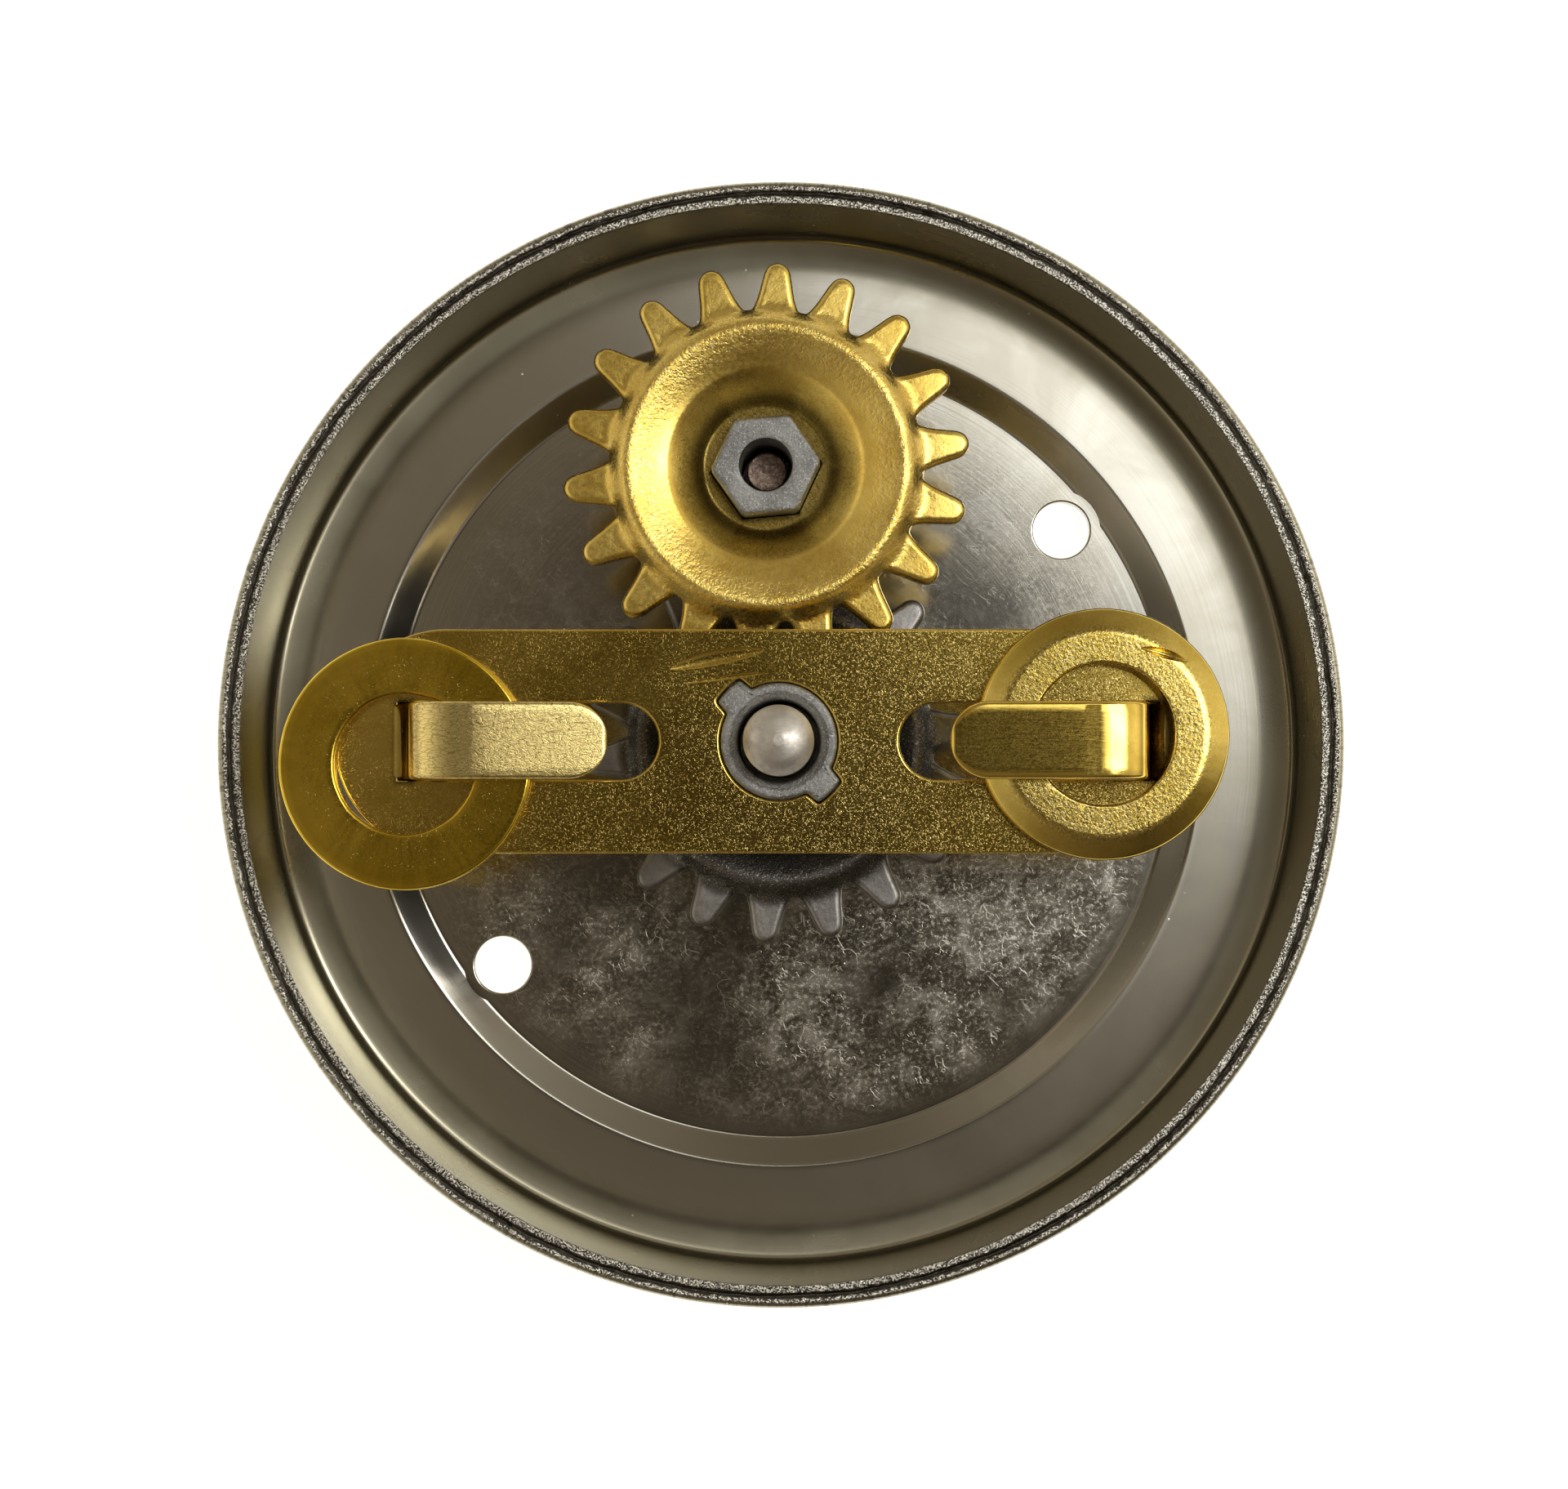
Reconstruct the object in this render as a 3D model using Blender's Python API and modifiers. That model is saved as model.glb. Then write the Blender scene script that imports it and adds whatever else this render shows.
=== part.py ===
"""Geared striker unit of a mechanical twist bell, without its dome.

A pressed steel dish carries a two-stage spur gear train whose input and
output share one axis. The drive spindle and its gear turn a layshaft twice
as fast the other way, and the layshaft turns the rotor twice as fast again,
so the rotor makes four turns for each turn of the spindle. Two loose
washers ride on hooks at the ends of the rotor's arm.

Frame: +Z out of the open side of the dish, +X along the arm, the origin on
the main axis at the dish's back face.
"""
import math

import bmesh
import bpy
from mathutils import Matrix, Vector

MM = 0.001
OBJECT_NAME = "bell_striker_gear_unit"

# Pressed dish
SHEET = 1.45 * MM
DISH_RADIUS = 36.0 * MM
DISH_HEIGHT = 14.5 * MM
DISH_RIM_CHAMFER = 0.35 * MM
DISH_FILLET = 0.8 * MM
STEP_HEIGHT = 0.85 * MM
STEP_TOP_RADIUS = 28.1 * MM
STEP_FOOT_RADIUS = 26.0 * MM
SCREW_HOLE_RADIUS = 1.95 * MM
SCREW_CIRCLE_RADIUS = 23.9 * MM
SCREW_ANGLES = (37.9, 217.9)

# Running and seating gaps between neighbouring pieces
GAP = 0.3 * MM

# Gear train: two equal wheels drive two equal pinions
MODULE = 1.304 * MM
WHEEL_TEETH = 18
PINION_TEETH = 9
CENTRE_DISTANCE = MODULE * (WHEEL_TEETH + PINION_TEETH) / 2
LAYSHAFT_ANGLE = 92.8
INPUT_WHEEL_PHASE = 5.2
LAYSHAFT_WHEEL_PHASE = 6.6
# Tooth flanks as (radius, half thickness), both in modules, root to tip
WHEEL_FLANK = ((7.77, 1.11), (8.28, 0.905), (8.98, 0.75), (9.53, 0.62), (9.86, 0.38))
PINION_FLANK = ((3.32, 0.625), (3.98, 0.625), (4.53, 0.562), (5.08, 0.39), (5.35, 0.22))
WHEEL_ROOT = 7.70 * MODULE
WHEEL_TIP = 9.98 * MODULE
PINION_ROOT = 3.28 * MODULE
PINION_TIP = 5.40 * MODULE

# Pressed wheels, heights counted from the top of the teeth
WHEEL_SHEET = 1.2 * MM
CREST_HEIGHT = 1.1 * MM
WHEEL_FLOOR_DEPTH = 1.6 * MM
INPUT_WHEEL_TOP = 9.5 * MM
LAYSHAFT_WHEEL_TOP = 15.7 * MM
HEX_FLATS = 6.15 * MM
HEX_PHASE = 5.0

# Spindle bush and drive spindle
BUSH_NECK_RADIUS = 4.6 * MM
BUSH_FLANGE_RADIUS = 7.5 * MM
BUSH_FLANGE_HEIGHT = 1.0 * MM
JOURNAL_RADIUS = 3.2 * MM
COLLAR_RADIUS = 4.6 * MM
POST_RADIUS = 2.21 * MM
POST_TOP = 21.6 * MM
POST_DOME = 0.75 * MM
KEY_SLOT = (4.8 * MM, 1.5 * MM, 3.0 * MM)

# Layshaft pin and hub
PIN_RADIUS = 1.27 * MM
PIN_COLLAR_RADIUS = 2.8 * MM
PIN_TOP = 11.8 * MM
LAYSHAFT_BORE_RADIUS = 1.67 * MM
LAYSHAFT_PINION_BOTTOM = 7.2 * MM
LAYSHAFT_HEX_TOP = 16.4 * MM

# Rotor
ARM_UNDERSIDE = 17.2 * MM
ARM_SHEET = 1.0 * MM
ARM_HALF_LENGTH = 28.0 * MM
ARM_HALF_WIDTH = 7.07 * MM
SLOT_WIDTH = 4.8 * MM
SLOT_INNER_END = 7.55 * MM
SLOT_OUTER_END = 24.3 * MM
TONGUE_WIDTH = 4.7 * MM
TONGUE_SHEET = 0.96 * MM
TONGUE_END = 10.64 * MM
TONGUE_FACE = 23.0 * MM
TONGUE_TOP = 21.6 * MM
TONGUE_ROOT_RADIUS = 1.3 * MM
TONGUE_TOP_RADIUS = 1.5 * MM
HUB_RADIUS = 3.66 * MM
HUB_TOP = 18.45 * MM
HUB_BORE_RADIUS = 2.59 * MM
LUG_ANGLE = 135.0
LUG_REACH = 4.58 * MM
LUG_WIDTH = 2.06 * MM

# Striker washers, resting off centre on their hooks
WASHER_RADIUS = 7.9 * MM
WASHER_HOLE_RADIUS = 4.39 * MM
WASHER_SHEET = 1.6 * MM
WASHER_CHAMFER = 0.3 * MM
WASHER_CENTRES = {
    "striker_washer_left": (-23.35 * MM, -1.45 * MM),
    "striker_washer_right": (20.25 * MM, 0.4 * MM),
}

# Facets round a full circle
FINE_STEPS = 72
MEDIUM_STEPS = 40
COARSE_STEPS = 28

# Heights that follow from the sizes above
DISC_TOP = SHEET
FLANGE_BOTTOM = DISC_TOP + GAP
FLANGE_TOP = FLANGE_BOTTOM + BUSH_FLANGE_HEIGHT
WHEEL_FLOOR_OFFSET = -WHEEL_FLOOR_DEPTH - WHEEL_SHEET
COLLAR_TOP = INPUT_WHEEL_TOP + WHEEL_FLOOR_OFFSET - GAP
SPINDLE_HEX_TOP = INPUT_WHEEL_TOP + CREST_HEIGHT
ROTOR_PINION_BOTTOM = SPINDLE_HEX_TOP + GAP
ROTOR_PINION_TOP = ARM_UNDERSIDE - GAP
LAYSHAFT_PINION_TOP = LAYSHAFT_WHEEL_TOP + WHEEL_FLOOR_OFFSET - GAP
ARM_TOP = ARM_UNDERSIDE + ARM_SHEET
LAYSHAFT_AXIS = Vector((
    CENTRE_DISTANCE * math.cos(math.radians(LAYSHAFT_ANGLE)),
    CENTRE_DISTANCE * math.sin(math.radians(LAYSHAFT_ANGLE)),
    0.0,
))


# ---------------------------------------------------------------- helpers

def clear_scene():
    """Remove every object that the scene starts with."""
    for item in list(bpy.data.objects):
        bpy.data.objects.remove(item, do_unlink=True)


def make_collection(name):
    """Add a collection to the scene."""
    collection = bpy.data.collections.new(name)
    bpy.context.scene.collection.children.link(collection)
    return collection


def make_material(name, colour, roughness, metallic=1.0):
    """A Principled material of one colour."""
    material = bpy.data.materials.new(name)
    material.use_nodes = True
    shader = material.node_tree.nodes["Principled BSDF"]
    shader.inputs["Base Color"].default_value = (*colour, 1.0)
    shader.inputs["Roughness"].default_value = roughness
    shader.inputs["Metallic"].default_value = metallic
    return material


def add_object(name, mesh, collection, parent, location=(0.0, 0.0, 0.0)):
    """Link a mesh as an object, placed under the empty on its axis."""
    item = bpy.data.objects.new(name, mesh)
    collection.objects.link(item)
    item.parent = parent
    item.location = location
    return item


def add_axis(name, location, collection, parent=None):
    """An empty on a joint's axis."""
    empty = bpy.data.objects.new(name, None)
    collection.objects.link(empty)
    empty.parent = parent
    empty.location = location
    return empty


def arc(centre_x, centre_y, radius, start, end, steps):
    """Points along an arc, ends included; angles in degrees."""
    points = []
    for i in range(steps + 1):
        angle = math.radians(start + (end - start) * i / steps)
        points.append((centre_x + radius * math.cos(angle), centre_y + radius * math.sin(angle)))
    return points


def turned(name, profile, steps, collection, parent, location=(0.0, 0.0, 0.0), closed=True):
    """Revolve a profile of (radius, height) points about Z.

    The profile runs down its outer side. A closed one is a ring with a hole,
    an open one starts and ends on the axis.
    """
    count = len(profile)
    edges = [(i, i + 1) for i in range(count - 1)]
    if closed:
        edges.append((count - 1, 0))
    mesh = bpy.data.meshes.new(name)
    mesh.from_pydata([(radius, 0.0, height) for radius, height in profile], edges, [])
    item = add_object(name, mesh, collection, parent, location)
    screw = item.modifiers.new("turn", "SCREW")
    screw.axis = "Z"
    screw.angle = math.tau
    screw.steps = steps
    screw.render_steps = steps
    screw.use_merge_vertices = True
    screw.merge_threshold = 0.000001
    screw.use_smooth_shade = True
    return item


def plate_mesh(name, outlines, thickness):
    """Flat plate from closed outlines, the first one outside and the rest holes."""
    curve = bpy.data.curves.new(name, "CURVE")
    curve.dimensions = "2D"
    curve.fill_mode = "BOTH"
    curve.extrude = thickness / 2
    for outline in outlines:
        spline = curve.splines.new("POLY")
        spline.points.add(len(outline) - 1)
        for point, (x, y) in zip(spline.points, outline):
            point.co = (x, y, 0.0, 1.0)
        spline.use_cyclic_u = True
    temporary = bpy.data.objects.new(name, curve)
    bpy.context.scene.collection.objects.link(temporary)
    bpy.context.view_layer.update()
    evaluated = temporary.evaluated_get(bpy.context.evaluated_depsgraph_get())
    mesh = bpy.data.meshes.new_from_object(evaluated)
    bpy.data.objects.remove(temporary, do_unlink=True)
    bpy.data.curves.remove(curve)
    work = bmesh.new()
    work.from_mesh(mesh)
    bmesh.ops.remove_doubles(work, verts=work.verts, dist=0.000001)
    bmesh.ops.recalc_face_normals(work, faces=work.faces)
    work.to_mesh(mesh)
    work.free()
    mesh.name = name
    return mesh


def plate(name, outlines, bottom, top, collection, parent, location=(0.0, 0.0, 0.0)):
    """Plate object between two heights above its location."""
    mesh = plate_mesh(name, outlines, top - bottom)
    mesh.transform(Matrix.Translation((0.0, 0.0, (top + bottom) / 2)))
    return add_object(name, mesh, collection, parent, location)


def cylinder(name, radius, bottom, top, steps, collection, parent, location=(0.0, 0.0, 0.0)):
    """Plain cylinder between two heights."""
    mesh = bpy.data.meshes.new(name)
    work = bmesh.new()
    bmesh.ops.create_cone(
        work, cap_ends=True, segments=steps, radius1=radius, radius2=radius, depth=top - bottom
    )
    bmesh.ops.translate(work, verts=work.verts, vec=(0.0, 0.0, (top + bottom) / 2))
    work.to_mesh(mesh)
    work.free()
    return add_object(name, mesh, collection, parent, location)


def block(name, size, centre, turn, collection, parent, location=(0.0, 0.0, 0.0)):
    """Box of a given size about a centre, turned about Z by degrees."""
    mesh = bpy.data.meshes.new(name)
    work = bmesh.new()
    bmesh.ops.create_cube(work, size=1.0)
    place = Matrix.Rotation(math.radians(turn), 4, "Z") @ Matrix.Translation(centre)
    work.transform(place @ Matrix.Diagonal((*size, 1.0)))
    work.to_mesh(mesh)
    work.free()
    return add_object(name, mesh, collection, parent, location)


def combine(item, other, operation):
    """Join or cut with another object, which becomes a hidden helper."""
    boolean = item.modifiers.new(other.name, "BOOLEAN")
    boolean.operation = operation
    boolean.solver = "EXACT"
    boolean.object = other
    other.hide_render = True
    other.display_type = "WIRE"


def finish_surface(item, material, angle=35.0):
    """Give a piece its material and smooth round sides."""
    item.data.materials.clear()
    item.data.materials.append(material)
    if item.data.polygons:
        item.data.shade_smooth()
        item.data.set_sharp_from_angle(angle=math.radians(angle))


# ------------------------------------------------------------ gear outlines

def gear_outline(teeth, flank, root_radius, tip_radius, phase):
    """Closed outline of a toothed wheel; phase is one tooth's direction in degrees."""
    pitch = math.tau / teeth
    side = [(MODULE * radius, math.asin(half / radius)) for radius, half in flank]
    points = []
    for tooth in range(teeth):
        middle = math.radians(phase) + tooth * pitch
        polar = [(radius, middle - spread) for radius, spread in side]
        polar.append((tip_radius, middle))
        polar += [(radius, middle + spread) for radius, spread in reversed(side)]
        polar.append((root_radius, middle + pitch / 2))
        points += [(radius * math.cos(a), radius * math.sin(a)) for radius, a in polar]
    return points


def meshing_phase(wheel_phase, direction):
    """Phase of a pinion in mesh with a wheel; direction runs from wheel to pinion."""
    wheel_pitch = 360.0 / WHEEL_TEETH
    offset = (wheel_phase - direction + wheel_pitch / 2) % wheel_pitch - wheel_pitch / 2
    gap_direction = direction + 180.0 - offset * WHEEL_TEETH / PINION_TEETH
    return gap_direction + 180.0 / PINION_TEETH


def hexagon(flats, phase):
    """Hexagon outline from its width across flats."""
    corner = flats / math.sqrt(3.0)
    return arc(0.0, 0.0, corner, phase, phase + 300.0, 5)


# --------------------------------------------------------------- sub-parts

def build_dish(parts, cutters, base_axis):
    """Pressed dish: upright wall, round bend, flat ring, step and sunk centre disc."""
    ring_top = SHEET + STEP_HEIGHT
    wall_inside = DISH_RADIUS - SHEET
    bend = DISH_RADIUS - SHEET - DISH_FILLET
    bend_height = ring_top + DISH_FILLET
    profile = [
        (DISH_RADIUS - DISH_RIM_CHAMFER, DISH_HEIGHT),
        (DISH_RADIUS, DISH_HEIGHT - DISH_RIM_CHAMFER),
    ]
    profile += arc(bend, bend_height, DISH_FILLET + SHEET, 0.0, -90.0, 5)
    profile += [
        (STEP_TOP_RADIUS + SHEET / 2, STEP_HEIGHT),
        (STEP_FOOT_RADIUS + SHEET / 2, 0.0),
        (BUSH_NECK_RADIUS + GAP, 0.0),
        (BUSH_NECK_RADIUS + GAP, DISC_TOP),
        (STEP_FOOT_RADIUS, DISC_TOP),
        (STEP_TOP_RADIUS, ring_top),
    ]
    profile += arc(bend, bend_height, DISH_FILLET, -90.0, 0.0, 5)
    profile.append((wall_inside, DISH_HEIGHT))
    dish = turned("base_dish", profile, FINE_STEPS, parts, base_axis)
    low = -SHEET
    high = DISC_TOP + SHEET
    for number, angle in enumerate(SCREW_ANGLES):
        turn = math.radians(angle)
        place = (SCREW_CIRCLE_RADIUS * math.cos(turn), SCREW_CIRCLE_RADIUS * math.sin(turn), 0.0)
        name = f"screw_hole_{number}"
        hole = cylinder(name, SCREW_HOLE_RADIUS, low, high, COARSE_STEPS, cutters, base_axis, place)
        combine(dish, hole, "DIFFERENCE")
    pin_hole = cylinder(
        "pin_hole", PIN_RADIUS + 2 * GAP, low, high, COARSE_STEPS, cutters, base_axis, LAYSHAFT_AXIS
    )
    combine(dish, pin_hole, "DIFFERENCE")
    return dish


def build_bush(parts, base_axis):
    """Flanged bush in the dish's centre hole, which the spindle turns in."""
    profile = [
        (BUSH_FLANGE_RADIUS, FLANGE_TOP),
        (BUSH_FLANGE_RADIUS, FLANGE_BOTTOM),
        (BUSH_NECK_RADIUS, FLANGE_BOTTOM),
        (BUSH_NECK_RADIUS, GAP),
        (JOURNAL_RADIUS + GAP, GAP),
        (JOURNAL_RADIUS + GAP, FLANGE_TOP),
    ]
    return turned("spindle_bush", profile, MEDIUM_STEPS, parts, base_axis)


def build_spindle(parts, cutters, input_axis):
    """Drive spindle: slotted journal, collar, hexagon for its wheel, domed post."""
    hex_round = HEX_FLATS / 2 - 0.05 * MM
    shoulder = COLLAR_TOP + GAP
    profile = [(0.0, POST_TOP)]
    profile += [
        (POST_RADIUS * math.sin(math.radians(a)), POST_TOP - POST_DOME * (1.0 - math.cos(math.radians(a))))
        for a in (30.0, 55.0, 75.0, 90.0)
    ]
    profile += [
        (POST_RADIUS, SPINDLE_HEX_TOP - GAP),
        (hex_round, SPINDLE_HEX_TOP - GAP),
        (hex_round, COLLAR_TOP),
        (COLLAR_RADIUS, COLLAR_TOP),
        (COLLAR_RADIUS, FLANGE_TOP + GAP),
        (JOURNAL_RADIUS, FLANGE_TOP + GAP),
        (JOURNAL_RADIUS, GAP),
        (0.0, GAP),
    ]
    spindle = turned("drive_spindle", profile, MEDIUM_STEPS, parts, input_axis, closed=False)
    hexagon_block = plate(
        "spindle_hexagon", [hexagon(HEX_FLATS, INPUT_WHEEL_PHASE)],
        shoulder, SPINDLE_HEX_TOP, cutters, input_axis,
    )
    combine(spindle, hexagon_block, "UNION")
    length, width, depth = KEY_SLOT
    slot = block("key_slot", (length, width, 2 * depth), (0.0, 0.0, GAP), 0.0, cutters, input_axis)
    combine(spindle, slot, "DIFFERENCE")
    return spindle


def build_wheel(name, phase, hex_phase, top, parts, cutters, axis):
    """Pressed wheel: flat teeth, round crest, funnel and a floor with a hexagon hole."""
    rim_inside = WHEEL_ROOT - 0.75 * MM
    place = (0.0, 0.0, top)
    outline = gear_outline(WHEEL_TEETH, WHEEL_FLANK, WHEEL_ROOT, WHEEL_TIP, phase)
    hole = arc(0.0, 0.0, rim_inside, 0.0, 360.0 * (1 - 1 / MEDIUM_STEPS), MEDIUM_STEPS - 1)
    wheel = plate(name, [outline, hole], -WHEEL_SHEET, 0.0, parts, axis, place)
    floor = -WHEEL_FLOOR_DEPTH
    crest = CREST_HEIGHT
    under = WHEEL_SHEET
    profile = [
        (9.5 * MM, 0.75 * crest),
        (9.92 * MM, 0.05 * MM),
        (9.75 * MM, -0.9 * under),
        (9.1 * MM, -0.35 * under),
        (8.5 * MM, -0.1 * under),
        (7.0 * MM, -1.15 * under),
        (4.4 * MM, floor - under),
        (2.6 * MM, floor - under),
        (2.6 * MM, floor),
        (4.1 * MM, floor),
        (6.6 * MM, 0.25 * MM),
        (8.2 * MM, 0.9 * crest),
        (8.9 * MM, crest),
    ]
    bowl = turned(name + "_bowl", profile, MEDIUM_STEPS, cutters, axis, place)
    combine(wheel, bowl, "UNION")
    hex_hole = plate(
        name + "_hexagon_hole", [hexagon(HEX_FLATS + 2 * GAP, hex_phase)],
        2 * WHEEL_FLOOR_OFFSET, crest, cutters, axis, place,
    )
    combine(wheel, hex_hole, "DIFFERENCE")
    return wheel


def build_layshaft_pin(parts, base_axis):
    """Shouldered steel pin riveted into the dish."""
    collar_top = LAYSHAFT_PINION_BOTTOM - GAP
    shank = PIN_RADIUS + GAP
    chamfer = 0.15 * MM
    profile = [
        (0.0, PIN_TOP),
        (PIN_RADIUS - chamfer, PIN_TOP),
        (PIN_RADIUS, PIN_TOP - chamfer),
        (PIN_RADIUS, collar_top),
        (PIN_COLLAR_RADIUS, collar_top),
        (PIN_COLLAR_RADIUS, FLANGE_BOTTOM),
        (shank, FLANGE_BOTTOM),
        (shank, GAP),
        (0.0, GAP),
    ]
    return turned("layshaft_pin", profile, COARSE_STEPS, parts, base_axis, LAYSHAFT_AXIS, closed=False)


def build_layshaft_hub(parts, cutters, layshaft_axis):
    """Cast hub: pinion below, hexagon above, one bore through both."""
    phase = meshing_phase(INPUT_WHEEL_PHASE, LAYSHAFT_ANGLE)
    outline = gear_outline(PINION_TEETH, PINION_FLANK, PINION_ROOT, PINION_TIP, phase)
    hub = plate(
        "layshaft_hub", [outline], LAYSHAFT_PINION_BOTTOM, LAYSHAFT_PINION_TOP, parts, layshaft_axis
    )
    boss = plate(
        "layshaft_hexagon", [hexagon(HEX_FLATS, HEX_PHASE)],
        LAYSHAFT_PINION_TOP - MM, LAYSHAFT_HEX_TOP, cutters, layshaft_axis,
    )
    combine(hub, boss, "UNION")
    bore = cylinder(
        "layshaft_bore", LAYSHAFT_BORE_RADIUS, 0.0, LAYSHAFT_HEX_TOP + MM, COARSE_STEPS,
        cutters, layshaft_axis,
    )
    combine(hub, bore, "DIFFERENCE")
    return hub


def build_rotor_hub(parts, cutters, rotor_axis):
    """Cast hub: pinion below, round boss with two lugs that key the arm."""
    phase = meshing_phase(LAYSHAFT_WHEEL_PHASE, LAYSHAFT_ANGLE + 180.0)
    outline = gear_outline(PINION_TEETH, PINION_FLANK, PINION_ROOT, PINION_TIP, phase)
    hub = plate("rotor_hub", [outline], ROTOR_PINION_BOTTOM, ROTOR_PINION_TOP, parts, rotor_axis)
    sunk = ROTOR_PINION_TOP - MM
    boss = cylinder("hub_boss", HUB_RADIUS, sunk, HUB_TOP, MEDIUM_STEPS, cutters, rotor_axis)
    combine(hub, boss, "UNION")
    lug_top = HUB_TOP - 0.1 * MM
    lugs = block(
        "hub_lugs", (2 * LUG_REACH, LUG_WIDTH, lug_top - sunk), (0.0, 0.0, (lug_top + sunk) / 2),
        LUG_ANGLE, cutters, rotor_axis,
    )
    combine(hub, lugs, "UNION")
    bore = cylinder(
        "rotor_bore", HUB_BORE_RADIUS, 0.0, HUB_TOP + MM, MEDIUM_STEPS, cutters, rotor_axis
    )
    combine(hub, bore, "DIFFERENCE")
    return hub


def slot_outline(side):
    """Lanced slot in the arm, round at its inner end; side is 1 or -1."""
    half = SLOT_WIDTH / 2
    points = arc(SLOT_INNER_END + half, 0.0, half, 90.0, 270.0, 8)
    points += [(SLOT_OUTER_END, -half), (SLOT_OUTER_END, half)]
    return [(side * x, side * y) for x, y in points]


def tongue_section():
    """Side view of one hook: up out of the arm's plane, then back over the slot.

    Its root is a little thinner than the arm, and ends inside it.
    """
    inner = TONGUE_FACE + TONGUE_ROOT_RADIUS
    outer_bend = TONGUE_FACE - TONGUE_TOP_RADIUS
    inset = (ARM_SHEET - TONGUE_SHEET) / 2
    root_height = ARM_TOP - inset + TONGUE_ROOT_RADIUS
    top_height = TONGUE_TOP - TONGUE_TOP_RADIUS
    anchor = SLOT_OUTER_END + MM
    points = [(anchor, ARM_TOP - inset)]
    points += arc(inner, root_height, TONGUE_ROOT_RADIUS, 270.0, 180.0, 5)
    points += arc(outer_bend, top_height, TONGUE_TOP_RADIUS, 0.0, 90.0, 6)
    points += [(TONGUE_END, TONGUE_TOP), (TONGUE_END, TONGUE_TOP - TONGUE_SHEET)]
    points += arc(outer_bend, top_height, TONGUE_TOP_RADIUS - TONGUE_SHEET, 90.0, 0.0, 3)
    points += arc(inner, root_height, TONGUE_ROOT_RADIUS + TONGUE_SHEET, 180.0, 270.0, 6)
    points.append((anchor, ARM_UNDERSIDE + inset))
    return points


def build_tongue(name, side, cutters, rotor_axis):
    """One bent tongue with a round free end."""
    mesh = plate_mesh(name, [tongue_section()], TONGUE_WIDTH)
    mesh.transform(Matrix.Rotation(math.radians(90.0), 4, "X"))
    tongue = add_object(name, mesh, cutters, rotor_axis)
    half = TONGUE_WIDTH / 2 + 0.02 * MM
    far = SLOT_OUTER_END + 3 * MM
    plan = arc(TONGUE_END + half, 0.0, half, 90.0, 270.0, 10) + [(far, -half), (far, half)]
    trim = plate(name + "_plan", [plan], ARM_UNDERSIDE - MM, TONGUE_TOP + MM, cutters, rotor_axis)
    combine(tongue, trim, "INTERSECT")
    if side < 0:
        turn = Matrix.Rotation(math.pi, 4, "Z")
        tongue.data.transform(turn)
        trim.data.transform(turn)
    return tongue


def build_arm(parts, cutters, rotor_axis):
    """Arm: round-ended strip, keyed centre hole, two slots and their bent tongues."""
    straight = ARM_HALF_LENGTH - ARM_HALF_WIDTH
    outline = arc(straight, 0.0, ARM_HALF_WIDTH, -90.0, 90.0, 16)
    outline += arc(-straight, 0.0, ARM_HALF_WIDTH, 90.0, 270.0, 16)
    arm = plate("rotor_arm", [outline], ARM_UNDERSIDE, ARM_TOP, parts, rotor_axis)
    low = ARM_UNDERSIDE - MM
    high = ARM_TOP + MM
    centre_hole = cylinder("arm_hole", HUB_RADIUS + GAP, low, high, MEDIUM_STEPS, cutters, rotor_axis)
    combine(arm, centre_hole, "DIFFERENCE")
    keyway = block(
        "arm_keyway", (2 * (LUG_REACH + GAP), LUG_WIDTH + 2 * GAP, high - low),
        (0.0, 0.0, (low + high) / 2), LUG_ANGLE, cutters, rotor_axis,
    )
    combine(arm, keyway, "DIFFERENCE")
    for side, name in ((1, "right"), (-1, "left")):
        slot = plate("slot_" + name, [slot_outline(side)], low, high, cutters, rotor_axis)
        combine(arm, slot, "DIFFERENCE")
        combine(arm, build_tongue("tongue_" + name, side, cutters, rotor_axis), "UNION")
    return arm


def build_washer(name, centre, parts, rotor_axis):
    """Loose striker washer, its origin at its own centre."""
    bottom = ARM_TOP + GAP
    profile = [
        (WASHER_RADIUS - WASHER_CHAMFER, WASHER_SHEET),
        (WASHER_RADIUS, WASHER_SHEET - WASHER_CHAMFER),
        (WASHER_RADIUS, 0.0),
        (WASHER_HOLE_RADIUS, 0.0),
        (WASHER_HOLE_RADIUS, WASHER_SHEET),
    ]
    return turned(name, profile, MEDIUM_STEPS, parts, rotor_axis, (*centre, bottom))


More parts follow.
